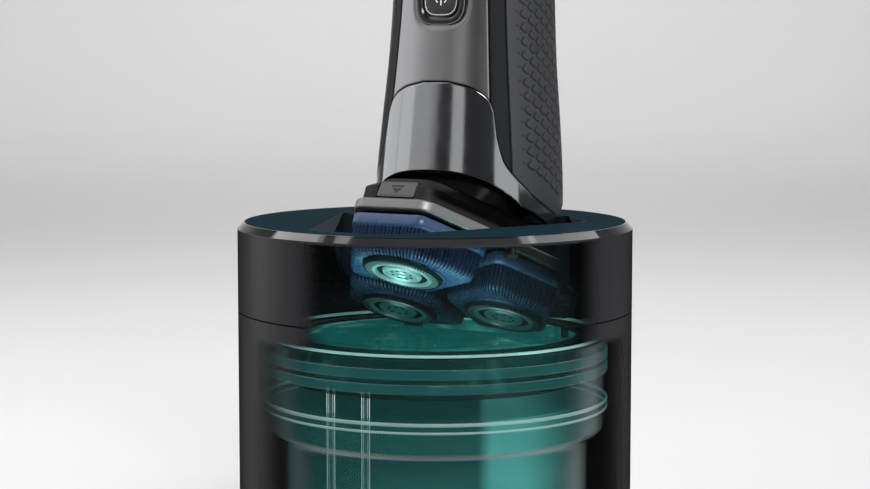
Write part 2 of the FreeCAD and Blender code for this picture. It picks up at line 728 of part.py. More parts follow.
def tube_spots():
    return {
        "feed_tube": polar(TUBE_PITCH_R, FEED_TUBE_ANGLE),
        "return_tube": polar(TUBE_PITCH_R, RETURN_TUBE_ANGLE),
    }


def tube(x, y):
    z0 = CART_BOTTOM + CART_FLOOR + TUBE_FOOT_GAP
    z1 = TRAY_TOP + TUBE_TOP_RISE
    return cylinder(TUBE_R, z0, z1, x, y).cut(cylinder(TUBE_BORE_R, z0, z1, x, y))


def tube_holes():
    return [cylinder(TUBE_R + SNUG / 2, 0, DECK_Z, x, y) for x, y in tube_spots().values()]


def drain_tray():
    bowl = lathe([
        (SUMP_R, TRAY_UNDER), (TRAY_R, TRAY_UNDER), (TRAY_R, RIM_UNDER),
        (COLLAR_R, RIM_UNDER), (COLLAR_R, CART_TOP), (TRAY_BORE_R, CART_TOP),
        (TRAY_BORE_R, TRAY_TOP), (SUMP_R, TRAY_TOP),
    ])
    return cut(bowl, tube_holes())


def filter_screen():
    return cylinder(FILTER_R, TRAY_UNDER - FILTER_T, TRAY_UNDER)


def cleaning_fluid():
    level = CART_TOP - FLUID_DROP
    profile = cup_bore(SNUG) + [(COLLAR_R - CART_WALL - SNUG, level), (0, level)]
    return cut(lathe(profile), tube_holes())


def wash_pool():
    """Fluid in the tray, with a hollow under the heads that leaves them free to flex."""
    pool = cylinder(TRAY_BORE_R - SNUG, TRAY_TOP, CART_TOP - POOL_DROP)
    heads = prism(dock_hole(), 0, DECK_Z).cut(nearer_than(-POOL_CLEAR))
    return pool.cut(heads).cut(tube_holes())


# ---- shaving unit ----------------------------------------------------------------------------
GEAR_MODULE = 2 * HEAD_PITCH_R / (PINION_TEETH + GEAR_TEETH)
GUARD_FACE_H = -GUARD_CROWN
CUTTER_FACE_H = GUARD_FACE_H + GUARD_T + SEAT
CUTTER_WEB_H = CUTTER_FACE_H + CUTTER_BLADE_H
CUTTER_HUB_BACK_H = CUTTER_WEB_H + CUTTER_WEB_T + CUTTER_HUB_H
HOLDER_BACK_H = BEZEL_H + HOLDER_T
GEAR_BACK_H = GEAR_H + GEAR_T
CHAMBER_BACK_H = GEAR_BACK_H + GEAR_PLAY


def rod(radius, h0, h1, x=0.0, y=0.0):
    """Round rod along the unit's axis between two depths."""
    return cylinder(radius, -h1, -h0, x, y)


def at_head(shape, name):
    """Moves a piece drawn on the unit's axis to one of the heads, and to its place."""
    shape.translate(Vector(0, HEAD_PITCH_R, 0))
    shape.rotate(Vector(), Z_AXIS, HEAD_TURNS[name])
    return tilted(shape)


def head_spots():
    return [turned(0, HEAD_PITCH_R, angle) for angle in HEAD_TURNS.values()]


def moved_in(corners, distances):
    """Counter-clockwise polygon whose edge from corner i on is moved in by distance i."""
    moved = []
    for i, corner in enumerate(corners):
        here = Vector(*corner, 0)
        along = here.sub(Vector(*corners[i - 1], 0)).normalize()
        onward = Vector(*corners[(i + 1) % len(corners)], 0).sub(here).normalize()
        turn = along.cross(onward).z
        point = here - along * (distances[i] / turn) + onward * (distances[i - 1] / turn)
        moved.append((point.x, point.y))
    return moved


def skirt_outline(insets):
    """One third of the unit: from its centre to the middles of two long edges."""
    corners = unit_corners()
    (x0, y0), (x1, y1) = corners[0], corners[5]
    half_x, half_y = (x0 + x1) / 2, (y0 + y1) / 2
    petal = [(0, 0), (half_x, half_y), (x0, y0), (-x0, y0), (-half_x, half_y)]
    face = rounded_face(moved_in(petal, insets), SKIRT_CORNER_R)
    face.translate(Vector(0, -HEAD_PITCH_R, 0))
    return face


def head_skirt(name):
    """Blue surround of one head, with a bevelled face and a stepped bore."""
    insets = SKIRT_INSETS[name]
    face, back = skirt_outline([SKIRT_FACE_IN] * len(insets)), skirt_outline(insets)
    bevel = tapered(back, -SKIRT_BEVEL_H, face, -SKIRT_FACE_H)
    body = bevel.fuse(slab(back, SKIRT_BEVEL_H, SKIRT_BACK_H))
    body = body.cut(rod(GUARD_R + SNUG / 2, GUARD_FACE_H, GUARD_DEPTH))
    return at_head(body.cut(rod(CARRIER_R + SNUG / 2, 0, SKIRT_BACK_H + 1)), name)


def head_guard(name):
    """Thin steel cap with a raised track, open at the back."""
    low = GUARD_FACE_H + GUARD_TRACK_DIP
    inside = GUARD_R - GUARD_T
    cap = lathe([(r, -h) for r, h in (
        (0, low), (GUARD_TRACK_IN - GUARD_TRACK_DIP, low), (GUARD_TRACK_IN, GUARD_FACE_H),
        (GUARD_TRACK_OUT, GUARD_FACE_H), (GUARD_R, GUARD_FACE_H + GUARD_SHOULDER),
        (GUARD_R, GUARD_DEPTH), (inside, GUARD_DEPTH),
        (inside, GUARD_FACE_H + GUARD_SHOULDER + GUARD_T / 2),
        (GUARD_TRACK_OUT - GUARD_T / 2, GUARD_FACE_H + GUARD_T),
        (GUARD_TRACK_IN + GUARD_T / 2, GUARD_FACE_H + GUARD_T), (GUARD_TRACK_IN, low + GUARD_T),
        (0, low + GUARD_T),
    )])
    return at_head(cap, name)


def head_carrier(name):
    """Ring that holds the skirt, with a collar and two pivot pins in the holder plate."""
    body = rod(CARRIER_R, CARRIER_FACE_H, SKIRT_BACK_H)
    body = body.fuse(rod(CARRIER_COLLAR_R, SKIRT_BACK_H - 1, HOLDER_BACK_H - SEAT))
    pin = Part.makeCylinder(
        FLEX_PIN_R, 2 * FLEX_PIN_REACH, Vector(-FLEX_PIN_REACH, 0, -FLEX_H), X_AXIS)
    body = body.fuse(pin).cut(rod(CARRIER_BORE_R, 0, HOLDER_BACK_H))
    return at_head(body, name)


def cutter(name):
    """Ring of upright blades on a web, with a socket hub for the spindle."""
    blades = ring(CUTTER_TIP_R, CUTTER_ROOT_R, -CUTTER_WEB_H, -CUTTER_FACE_H)
    slots = []
    for i in range(CUTTER_SLOTS):
        slot = box(-CUTTER_SLOT_W / 2, CUTTER_SLOT_W / 2, 0, GUARD_R, -CUTTER_WEB_H, 0)
        slot.rotate(Vector(), Z_AXIS, i * 360.0 / CUTTER_SLOTS)
        slots.append(slot)
    web_back = CUTTER_WEB_H + CUTTER_WEB_T
    web = rod(CUTTER_TIP_R, CUTTER_WEB_H, web_back)
    hub = rod(CUTTER_HUB_R, CUTTER_WEB_H, CUTTER_HUB_BACK_H)
    socket = rod(CUTTER_SOCKET_R, SPINDLE_TIP_H - CUTTER_SOCKET_GAP, CUTTER_HUB_BACK_H + 1)
    return at_head(cut(fuse([cut(blades, slots), web, hub]), [socket]), name)


def gear_outline(teeth, phase):
    """Straight-flanked teeth; phase is the angle of the middle of one tooth."""
    pitch_r = GEAR_MODULE * teeth / 2
    points = []
    for i in range(teeth):
        for reach, side in (
            (-TOOTH_DEDENDUM, -1), (TOOTH_ADDENDUM, -1),
            (TOOTH_ADDENDUM, 1), (-TOOTH_DEDENDUM, 1),
        ):
            half = TOOTH_SHARE / 2 - reach * TOOTH_FLANK
            angle = phase + (i + side * half) * 360.0 / teeth
            x, y = polar(pitch_r + reach * GEAR_MODULE, angle)
            points.append(Vector(x, y, 0))
    return Part.Face(Part.makePolygon(points + points[:1]))


def tip_radius(teeth):
    return GEAR_MODULE * (teeth / 2 + TOOTH_ADDENDUM)


def meshing_phase(direction):
    """Phase of a gear in that direction from the pinion, whose own phase is zero."""
    offset = direction % (360.0 / PINION_TEETH)
    return direction + 180 + offset * PINION_TEETH / GEAR_TEETH + 180.0 / GEAR_TEETH


def drive_gear(name):
    """Gear with the spindle that turns the cutter and a stub that bears in the base."""
    turn = HEAD_TURNS[name]
    phase = meshing_phase(90 + turn) - turn
    body = fuse([
        slab(gear_outline(GEAR_TEETH, phase), GEAR_H, GEAR_BACK_H),
        rod(SPINDLE_R, SPINDLE_TIP_H, GEAR_H),
        rod(STUB_R, GEAR_BACK_H, GEAR_BACK_H + STUB_L),
    ])
    return at_head(body, name)


def drive_pinion():
    """Pinion on the motor shaft."""
    gear = slab(gear_outline(PINION_TEETH, 0), GEAR_H, GEAR_BACK_H)
    shaft = rod(SHAFT_R, GEAR_H, HANDLE_BASE_H + CORE_T + SHAFT_BITE)
    return tilted(gear.fuse(shaft))


def bezel():
    return tilted(slab(unit_outline(0).cut(unit_outline(BEZEL_W)), BEZEL_H, BEZEL_BACK_H))


def holder_plate():
    """Plate inside the bezel that carries the three heads on their pivot pins."""
    plate = slab(unit_outline(BEZEL_W + SNUG), BEZEL_H, HOLDER_BACK_H)
    tools = []
    reach = FLEX_PIN_REACH + FLEX_PIN_END_GAP
    for angle in HEAD_TURNS.values():
        pin = Part.makeCylinder(
            FLEX_PIN_R + PIN_FIT, 2 * reach, Vector(-reach, HEAD_PITCH_R, -FLEX_H), X_AXIS)
        hole = rod(HOLDER_HOLE_R, 0, HOLDER_BACK_H + 1, 0, HEAD_PITCH_R)
        for tool in (pin, hole):
            tool.rotate(Vector(), Z_AXIS, angle)
            tools.append(tool)
    return tilted(cut(plate, tools))


def button_bar(grow, reach_in, reach_out):
    """Bar across the unit behind its front face, as tall as the release button."""
    h0 = BEZEL_BACK_H + SEAT + UNIT_BUTTON_GAP - grow
    h1 = h0 + UNIT_BUTTON_H + 2 * grow
    lean = UNIT_BUTTON_SLOPE / UNIT_BUTTON_H * (h1 - h0)
    front, back = UNIT_BUTTON_FACE + reach_out, UNIT_BUTTON_FACE - reach_in
    points = [(front, h0), (front - lean, h1), (back - lean, h1), (back, h0)]
    half = UNIT_BUTTON_W / 2 + grow
    corners = [Vector(-half, y, -h) for y, h in points]
    return Part.Face(Part.makePolygon(corners + corners[:1])).extrude(Vector(2 * half, 0, 0))


def head_release_button():
    return tilted(button_bar(0, UNIT_BUTTON_T, 0))


def unit_base():
    """Black body of the shaving unit: gear chamber below, neck seat on top."""
    side = unit_outline(BASE_INSET)
    body = slab(side, BEZEL_BACK_H, BASE_SIDE_END_H)
    top = unit_outline(BASE_INSET + BASE_TAPER_IN)
    body = body.fuse(tapered(top, -BASE_BACK_H, side, -BASE_SIDE_END_H))
    well = GEAR_PLAY + tip_radius(GEAR_TEETH)
    tools = [rod(well, 0, CHAMBER_BACK_H, x, y) for x, y in head_spots()]
    tools.append(rod(GEAR_PLAY + tip_radius(PINION_TEETH), 0, CHAMBER_BACK_H))
    stub_end = GEAR_BACK_H + STUB_L + SEAT
    tools += [rod(STUB_R + PIN_FIT, 0, stub_end, x, y) for x, y in head_spots()]
    tools.append(rod(SHAFT_R + RUNNING, 0, BASE_BACK_H + 1))
    tools.append(button_bar(
        RUNNING, UNIT_BUTTON_T + UNIT_BUTTON_TRAVEL + SNUG, UNIT_BUTTON_T + UNIT_EDGE_HALF))
    return tilted(cut(body, tools))


# ---- handle ------------------------------------------------------------------------------------
HANDLE_Z = [DECK_Z + rise for rise, centre, half_w, half_d in HANDLE_SECTIONS]
HANDLE_TOP = HANDLE_Z[-1]
POWER_Z = DECK_Z + POWER_RISE
POWER_RING_BACK_Y = POWER_FACE_Y + POWER_RING_T


def section(centre_y, half_w, half_d, z):
    """Closed superellipse."""
    points = []
    for i in range(SECTION_POINTS):
        angle = 2 * math.pi * i / SECTION_POINTS
        across, along = math.cos(angle), math.sin(angle)
        x = half_w * math.copysign(abs(across) ** (2 / HANDLE_POWER), across)
        y = half_d * math.copysign(abs(along) ** (2 / HANDLE_POWER), along)
        points.append(Vector(x, centre_y + y, z))
    curve = Part.BSplineCurve()
    curve.interpolate(Points=points, PeriodicFlag=True)
    return Part.Wire(curve.toShape())


def handle_body(distance):
    """The handle's outer form, made smaller all round by the distance."""
    wires = []
    for z, (rise, centre, half_w, half_d) in zip(HANDLE_Z, HANDLE_SECTIONS):
        wires.append(section(centre, half_w - distance, half_d - distance, z))
    return Part.makeLoft(wires, True)


def below_slope(y, lift, rise):
    """Space under a plane across the handle, that height above the deck at y."""
    space = box(-REACH, REACH, -REACH, REACH, -REACH, 0)
    space.rotate(Vector(), X_AXIS, rise)
    space.translate(Vector(0, y, DECK_Z + lift))
    return space


def below_core(distance):
    """Space under the lower end of the handle's core, which is raised by the distance."""
    lift = HANDLE_HEEL_LIFT + distance / math.cos(math.radians(HANDLE_HEEL_RISE))
    heel = below_slope(HANDLE_HEEL_Y, lift, HANDLE_HEEL_RISE)
    return [nearer_than(HANDLE_BASE_H + distance), heel]


def below_skin():
    """Space under the lower end of the handle's skin, which hangs below the core."""
    heel = below_slope(HANDLE_HEEL_Y, HANDLE_HEEL_LIFT, HANDLE_HEEL_RISE)
    chin = below_slope(CHIN_Y, CHIN_LIFT, -CHIN_FALL)
    return [nearer_than(HANDLE_BASE_H - SKIN_LIP), heel, chin]


def neck_region():
    """Everything in front of and under the seam of the neck panel."""
    points = [Vector(-REACH / 2, y, DECK_Z + rise) for y, rise in NECK_SEAM]
    curve = Part.BSplineCurve()
    curve.interpolate(points)
    first, last = points[0], points[-1]
    low = Vector(last.x, first.y - REACH, last.z)
    high = Vector(last.x, first.y - REACH, first.z)
    edges = [curve.toShape()]
    for a, b in ((last, low), (low, high), (high, first)):
        edges.append(Part.LineSegment(a, b).toShape())
    return Part.Face(Part.Wire(edges)).extrude(Vector(REACH, 0, 0))


def power_prism(width, radius, y0, y1):
    """Squircle bar along Y at the power button."""
    half = width / 2
    corners = [(half, -half), (half, half), (-half, half), (-half, -half)]
    bar = facing_front(prism(rounded_face(corners, radius), -y1, -y0))
    bar.translate(Vector(0, 0, POWER_Z))
    bar.rotate(Vector(0, POWER_FACE_Y, POWER_Z), X_AXIS, -POWER_LEAN)
    return bar


def handle_skin():
    shell = handle_body(0).cut(handle_body(SKIN_T))
    return cut(shell, below_skin())


def handle_panels():
    """Front panel, side strips, rear grip and neck panel, cut from one skin."""
    skin = handle_skin()
    neck = neck_region()
    front = wedge(FRONT_HALF_ANGLE, 0, HANDLE_TOP + 1, HANDLE_AXIS_Y)
    sides = wedge(STRIP_HALF_ANGLE, 0, HANDLE_TOP + 1, HANDLE_AXIS_Y)
    above = skin.cut(neck)
    ring_hole = power_prism(
        POWER_RING_W + 2 * SNUG, POWER_RING_R + SNUG, -REACH, HANDLE_AXIS_Y)
    return {
        "front_panel": above.common(front).cut(ring_hole),
        "side_strips": above.common(sides).cut(front),
        "rear_grip": above.cut(sides),
        "neck_panel": skin.common(neck),
    }


def handle_core():
    """Inner tube of the handle with two ribs for the battery and the circuit board."""
    outer = cut(handle_body(SKIN_T + SNUG), below_core(0))
    hollow = cut(handle_body(SKIN_T + SNUG + CORE_T), below_core(CORE_T))
    ribs = []
    for rise in RIB_RISES:
        z = DECK_Z + rise
        ribs.append(hollow.common(box(-REACH, REACH, -REACH, REACH, z, z + RIB_T)))
    body = fuse([outer.cut(hollow)] + ribs)
    power_depth = POWER_FACE_Y + POWER_BUTTON_T + POWER_TRAVEL + SEAT
    tools = [
        battery_bar(SNUG), board_bar(SNUG),
        tilted(rod(SHAFT_R + RUNNING, 0, HANDLE_BASE_H + 2 * CORE_T)),
        power_prism(POWER_BUTTON_W + 2 * RUNNING, POWER_BUTTON_R + RUNNING, 0, power_depth),
        power_prism(POWER_RING_W + 2 * SNUG, POWER_RING_R + SNUG, 0, POWER_RING_BACK_Y + SNUG),
    ]
    return cut(body, tools)


def battery_bar(grow):
    z = DECK_Z + BATTERY_RISE
    return cylinder(BATTERY_R + grow, z - grow, z + BATTERY_L + grow, 0, BATTERY_Y)


def board_bar(grow):
    z = DECK_Z + BOARD_RISE
    half = BOARD_W / 2 + grow
    y0, y1 = BOARD_Y - grow, BOARD_Y + BOARD_T + grow
    return box(-half, half, y0, y1, z - grow, z + BOARD_L + grow)


def motor():
    h0 = HANDLE_BASE_H + CORE_T
    bore = rod(SHAFT_R + PIN_FIT, h0, h0 + SHAFT_BITE + SEAT)
    return tilted(rod(MOTOR_R, h0, h0 + MOTOR_L).cut(bore))


def neck_core():
    """Black neck between the unit base and the handle's lower end."""
    wires = [
        section(NECK_Y, NECK_HALF_W, NECK_HALF_D, -BASE_BACK_H),
        section(NECK_TOP_Y, NECK_TOP_HALF_W, NECK_TOP_HALF_D, -HANDLE_BASE_H),
    ]
    body = Part.makeLoft(wires, True)
    return tilted(body.cut(rod(SHAFT_R + RUNNING, 0, HANDLE_BASE_H + 1)))


def power_ring():
    face_y = POWER_FACE_Y - POWER_RING_PROUD
    outer = power_prism(POWER_RING_W, POWER_RING_R, face_y, POWER_RING_BACK_Y)
    hole = power_prism(
        POWER_BUTTON_W + 2 * RUNNING, POWER_BUTTON_R + RUNNING, 0, HANDLE_AXIS_Y)
    return outer.cut(hole)


def power_button():
    back_y = POWER_FACE_Y + POWER_BUTTON_T
    return power_prism(POWER_BUTTON_W, POWER_BUTTON_R, POWER_FACE_Y, back_y)


def socket_bar(grow):
    half_w, half_d = SOCKET_W / 2 + grow, SOCKET_D / 2 + grow
    y = HANDLE_SECTIONS[-1][1]
    top = HANDLE_TOP + CAP_T - SOCKET_SINK
    return box(-half_w, half_w, y - half_d, y + half_d, top - SOCKET_H, top + grow * REACH)


def charging_socket():
    y = HANDLE_SECTIONS[-1][1]
    top = HANDLE_TOP + CAP_T
    pins = [
        cylinder(SOCKET_PIN_R, top - SOCKET_PIN_DEPTH, top, x, y)
        for x in (-SOCKET_PIN_HALF, SOCKET_PIN_HALF)
    ]
    return cut(socket_bar(0), pins)


def end_cap():
    """Cap on the handle's end with a spigot inside the core."""
    rise, centre, half_w, half_d = HANDLE_SECTIONS[-1]
    lip_z = HANDLE_TOP + CAP_T - CAP_CHAMFER
    top_z = HANDLE_TOP + CAP_T
    rim = section(centre, half_w, half_d, HANDLE_TOP)
    lip = section(centre, half_w, half_d, lip_z)
    top = section(centre, half_w - CAP_CHAMFER, half_d - CAP_CHAMFER, top_z)
    spigot_in = SKIN_T + SNUG + CORE_T + RUNNING
    foot = section(centre, half_w - spigot_in, half_d - spigot_in, HANDLE_TOP - CAP_SPIGOT_H)
    head = section(centre, half_w - spigot_in, half_d - spigot_in, HANDLE_TOP)
    cap = Part.makeLoft([rim, lip], True, True).fuse(Part.makeLoft([lip, top], True, True))
    cap = cap.fuse(Part.makeLoft([foot, head], True, True))
    hollow = box(-REACH, REACH, -REACH, REACH, 0, HANDLE_TOP).common(socket_bar(CAP_SPIGOT_H / 4))
    return cap.cut(hollow).cut(socket_bar(SNUG))


# ---- parts --------------------------------------------------------------------------------------
PIECES = {
    "lower_housing": lower_housing,
    "base_plate": base_plate,
    "base_screws": base_screws,
    "rubber_feet": rubber_feet,
    "cartridge_cradle": cartridge_cradle,
    "latch_keeper": latch_keeper,
    "upper_housing": upper_housing,
    "deck_panel": deck_panel,
    "dock_funnel": dock_funnel,
    "dock_rests": dock_rests,
    "splash_guard": splash_guard,
    "cover_seal": cover_seal,
    "cover_screws": cover_screws,
    "cover_release_button": cover_release_button,
    "cartridge_cup": cartridge_cup,
    "drain_tray": drain_tray,
    "filter_screen": filter_screen,
    "cleaning_fluid": cleaning_fluid,
    "wash_pool": wash_pool,
    "bezel": bezel,
    "holder_plate": holder_plate,
    "unit_base": unit_base,
    "head_release_button": head_release_button,
    "drive_pinion": drive_pinion,
    "neck_core": neck_core,
    "handle_core": handle_core,
    "motor": motor,
    "power_ring": power_ring,
    "power_button": power_button,
    "end_cap": end_cap,
    "charging_socket": charging_socket,
}
HEAD_PIECES = {
    "head_skirt": head_skirt,
    "head_guard": head_guard,
    "head_carrier": head_carrier,
    "cutter": cutter,
    "drive_gear": drive_gear,
}

for node, build in PIECES.items():
    save(node, build())
for stem, build in HEAD_PIECES.items():
    for head in HEAD_TURNS:
        save(stem + "_" + head, build(head))
for node, (tube_x, tube_y) in tube_spots().items():
    save(node, tube(tube_x, tube_y))
for node, panel in handle_panels().items():
    save(node, panel)
save("battery", battery_bar(0))
save("circuit_board", board_bar(0))
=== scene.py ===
"""Looks of the shaver cleaning station: a round pod with a rotary shaver docked in it.

The pod's shells are see-through in front, so that the heads and the cartridge show.
"""
import json
import math

import bmesh
import bpy
import numpy as np
from mathutils import Matrix, Vector
from numpy.linalg import norm


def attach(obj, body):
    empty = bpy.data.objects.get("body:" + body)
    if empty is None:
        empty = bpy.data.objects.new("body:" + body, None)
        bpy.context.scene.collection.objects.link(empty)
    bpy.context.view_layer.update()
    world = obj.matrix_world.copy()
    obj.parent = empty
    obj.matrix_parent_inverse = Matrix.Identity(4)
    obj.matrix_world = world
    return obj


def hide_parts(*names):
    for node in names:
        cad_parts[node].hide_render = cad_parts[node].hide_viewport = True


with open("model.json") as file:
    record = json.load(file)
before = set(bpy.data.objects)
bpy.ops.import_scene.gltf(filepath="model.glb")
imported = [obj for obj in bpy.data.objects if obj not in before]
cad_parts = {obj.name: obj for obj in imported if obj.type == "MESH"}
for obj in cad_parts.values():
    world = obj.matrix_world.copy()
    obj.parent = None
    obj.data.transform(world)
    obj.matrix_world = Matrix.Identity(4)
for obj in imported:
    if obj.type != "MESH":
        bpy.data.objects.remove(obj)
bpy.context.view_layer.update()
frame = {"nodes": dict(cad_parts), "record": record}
NODES = frame["nodes"]
MM = 0.001

# ---- the object's main dimensions, in millimetres ---------------------------
DECK_Z = 108.0
CART_TOP = 76.9
HEAD_TILT = math.radians(27.5)
HEAD_Y, HEAD_Z = -0.33, 85.4
HEAD_PITCH_R = 19.9
UNIT_EDGE, UNIT_EDGE_HALF = 34.6, 11.0
HEAD_TURNS = {"front": 0.0, "left": 120.0, "right": -120.0}

# ---- camera -----------------------------------------------------------------
# A long lens, thirty degrees round from the front, looking slightly down.
CAMERA_TURN = math.radians(30.0)
CAMERA_PITCH = math.radians(5.6)
CAMERA_AWAY, CAMERA_HEIGHT = 588.0, 158.8
CAMERA_LENS, SENSOR = 87.4, 36.0


def around(azimuth, away, height):
    """Place at an angle round from the camera, positive to the right of the picture."""
    turn = CAMERA_TURN + math.radians(azimuth)
    return away * math.sin(turn), -away * math.cos(turn), height


def in_scene(name, data):
    """New object in the scene."""
    thing = bpy.data.objects.new(name, data)
    bpy.context.scene.collection.objects.link(thing)
    return thing


def add_camera():
    data = bpy.data.cameras.new("camera")
    data.lens = CAMERA_LENS
    data.sensor_width = SENSOR
    data.clip_start, data.clip_end = 0.01, 20.0
    camera = in_scene("camera", data)
    camera.location = Vector(around(0, CAMERA_AWAY, CAMERA_HEIGHT)) * MM
    camera.rotation_euler = (math.pi / 2 - CAMERA_PITCH, 0, CAMERA_TURN)
    bpy.context.scene.camera = camera


# ---- node helpers -----------------------------------------------------------
GRAIN_DEPTH = 0.02 * MM
LOOKS = {}                 # every material by its name


class Shader:
    """A material under construction: its node tree, its Principled node and short calls."""

    def __init__(self, name, colour, rough, **sockets):
        self.material = bpy.data.materials.new(name)
        self.material.use_nodes = True
        self.nodes = self.material.node_tree.nodes
        self.links = self.material.node_tree.links
        self.surface = self.nodes["Principled BSDF"]
        self.surface.inputs["Base Color"].default_value = (*colour, 1)
        self.surface.inputs["Roughness"].default_value = rough
        for socket, value in sockets.items():
            self.surface.inputs[socket.replace("_", " ")].default_value = value
        self.colour, self.rough = colour, rough
        LOOKS[name] = self.material

    def add(self, kind, *inputs, **properties):
        node = self.nodes.new("ShaderNode" + kind)
        for key, value in properties.items():
            setattr(node, key, value)
        for i, value in enumerate(inputs):
            if isinstance(value, bpy.types.NodeSocket):
                self.links.new(value, node.inputs[i])
            elif value is not None:
                node.inputs[i].default_value = value
        return node

    def place(self):
        return self.add("TexCoord").outputs["Object"]

    def math(self, operation, *inputs):
        return self.add("Math", *inputs, operation=operation).outputs[0]

    def spread(self, value, low, high, to_low=0.0, to_high=1.0):
        """The value, mapped smoothly from one range onto another."""
        return self.add("MapRange", value, low, high, to_low, to_high,
                        interpolation_type="SMOOTHSTEP").outputs[0]

    def noise(self, scale, detail=2.0, distortion=0.0):
        node = self.add("TexNoise", self.place())
        for key, value in (("Scale", scale), ("Detail", detail), ("Distortion", distortion)):
            node.inputs[key].default_value = value
        return node.outputs["Fac"]

    def cloud(self, scale=220.0):
        """Soft patches, for slight changes of colour and gloss."""
        return self.noise(scale, 3.0)

    def facing(self):
        """From 0 where the surface is seen square on to 1 where it is seen edge on."""
        return self.add("LayerWeight", 0.5).outputs["Facing"]

    def groove(self):
        """Depth in a groove, from 0 to 1, as mark_groove_shade wrote it, for painted shade."""
        return self.add("Attribute", attribute_name="groove").outputs["Fac"]

    def dot(self, direction):
        """Distance of a point along a direction."""
        node = self.add("VectorMath", self.place(), direction, operation="DOT_PRODUCT")
        return node.outputs["Value"]

    def mix(self, factor, *colours):
        """Blend of two colours, each of them a socket or three numbers."""
        a, b = ((*c, 1) if isinstance(c, tuple) else c for c in colours)
        return self.add("Mix", factor, *[None] * 5, a, b, data_type="RGBA").outputs[2]

    def feed(self, socket, value):
        self.links.new(value, self.surface.inputs[socket])

    def vary_gloss(self, cloud, share=0.15):
        low, high = self.rough * (1 - share), self.rough * (1 + share)
        self.feed("Roughness", self.spread(cloud, 0.3, 0.7, low, high))

    def mottle(self, share, scale=220.0, rough_share=0.15):
        """Slight changes of colour and gloss over the surface."""
        cloud = self.cloud(scale)
        dark = tuple(c * (1 - share) for c in self.colour)
        light = tuple(min(1, c * (1 + share)) for c in self.colour)
        self.feed("Base Color", self.mix(cloud, dark, light))
        self.vary_gloss(cloud, rough_share)

    def bump(self, height, strength, distance):
        node = self.add("Bump", strength, distance)
        self.links.new(height, node.inputs["Height"])
        self.feed("Normal", node.outputs[0])

    def grain(self, scale, strength):
        """Fine moulded texture."""
        self.bump(self.noise(scale), strength, GRAIN_DEPTH)


# ---- materials --------------------------------------------------------------
# The see-through front of the pod: the direction of its middle, and its edges.
WINDOW_DIRECTION = Vector((0.581, -0.814, 0.0))
WINDOW_EDGE = (0.66, 0.80)         # cosines between which the upper window fades in
GHOST_EDGE = (0.33, 0.66)          # the same for the softer zone in front of the cartridge
WINDOW_Z = (77.0 * MM, 79.5 * MM)  # lower end of the clear window
RIM_Z = (105.2 * MM, 105.9 * MM)   # upper end of it
THROAT_Z = (103.9 * MM, 104.5 * MM)    # the same for the dock's throat
CHAMFER_Z = (106.0 * MM, 106.3 * MM)   # the glossy chamfer lies above
WINDOW_FILM, GHOST_FILM = 0.03, 0.1
INSIDE_R = (53.2 * MM, 53.8 * MM)  # between the shells' inner and outer faces
# Painted glow of the fluid, a bright stretch standing for a highlight, measured across the pod:
# where it starts and where it fades.
GLOW_ACROSS = Vector((0.866, 0.5, 0.0))
GLOW_RISE, GLOW_FALL = (12.5 * MM, 15.5 * MM), (22.0 * MM, 40.0 * MM)
GLOW_REACH = (39.5 * MM, 41.0 * MM)
RIB_REACH = (47.75 * MM, 48.1 * MM)   # between the cartridge's collar and its ribs, which glow with painted teal light
THIN_RIBS_Z = (60.0 * MM, 62.0 * MM)  # the thin ribs, painted paler as a highlight, lie below
# The shaving unit's base turns black from here on: along its sides by distance from the
# middle and depth behind the heads, and at its back by that depth.
BASE_SIDE_X, BASE_SIDE_DEPTH = (8.5 * MM, 12.5 * MM), (17.4 * MM, 19.0 * MM)
BASE_BACK_DEPTH = (24.4 * MM, 25.0 * MM)


def front_and_height(s):
    """How squarely a point faces the window, as a cosine round Z, and its height."""
    parts = s.add("SeparateXYZ", s.place())
    flat = s.add("CombineXYZ", parts.outputs[0], parts.outputs[1], 0.0).outputs[0]
    unit = s.add("VectorMath", flat, operation="NORMALIZE").outputs[0]
    facing = s.add("VectorMath", unit, WINDOW_DIRECTION, operation="DOT_PRODUCT")
    return facing.outputs["Value"], parts.outputs[2]


def from_axis(s):
    """Distance of a point from the pod's axis."""
    flat = s.add("VectorMath", s.place(), (1, 1, 0), operation="MULTIPLY").outputs[0]
    return s.add("VectorMath", flat, operation="LENGTH").outputs["Value"]


def pod_material():
    """Dark satin plastic that turns see-through in front, with a glossy chamfer."""
    s = Shader("pod_shell", (0.02, 0.0205, 0.022), 0.5, Specular_IOR_Level=0.0)
    cloud = s.cloud()
    s.vary_gloss(cloud)
    towards, height = front_and_height(s)
    outside = s.spread(from_axis(s), *INSIDE_R)
    tint = s.mix(cloud, (0.019, 0.0195, 0.021), (0.021, 0.0215, 0.023))
    s.feed("Base Color", s.mix(outside, (0.001, 0.001, 0.0012), tint))
    sides = s.math("MULTIPLY", outside, s.spread(s.facing(), 0.5, 0.92, 0.26, 0.0))
    s.feed("Coat Weight", s.math("MAXIMUM", sides, s.spread(height, *CHAMFER_Z)))
    s.feed("Coat Roughness", s.spread(height, *CHAMFER_Z, 0.3, 0.06))
    upper = s.spread(towards, *WINDOW_EDGE, 1.0, WINDOW_FILM)
    lower = s.spread(towards, *GHOST_EDGE, 1.0, GHOST_FILM)
    film = s.add("Mix", s.spread(height, *WINDOW_Z), None, lower, upper).outputs[0]
    rim = s.spread(height, *RIM_Z)
    s.feed("Alpha", s.math("MAXIMUM", film, rim))


def funnel_material():
    """The dock's throat, as see-through in front as the shell before it."""
    s = Shader("dock_throat", (0.012, 0.02, 0.026), 0.5, Specular_IOR_Level=0.0,
               Coat_Weight=0.1, Coat_Roughness=0.3)
    s.mottle(0.06)
    towards, height = front_and_height(s)
    side = s.spread(towards, 0.35, 0.5, 1.0, WINDOW_FILM)
    s.feed("Alpha", s.math("MAXIMUM", side, s.spread(height, *THROAT_Z)))


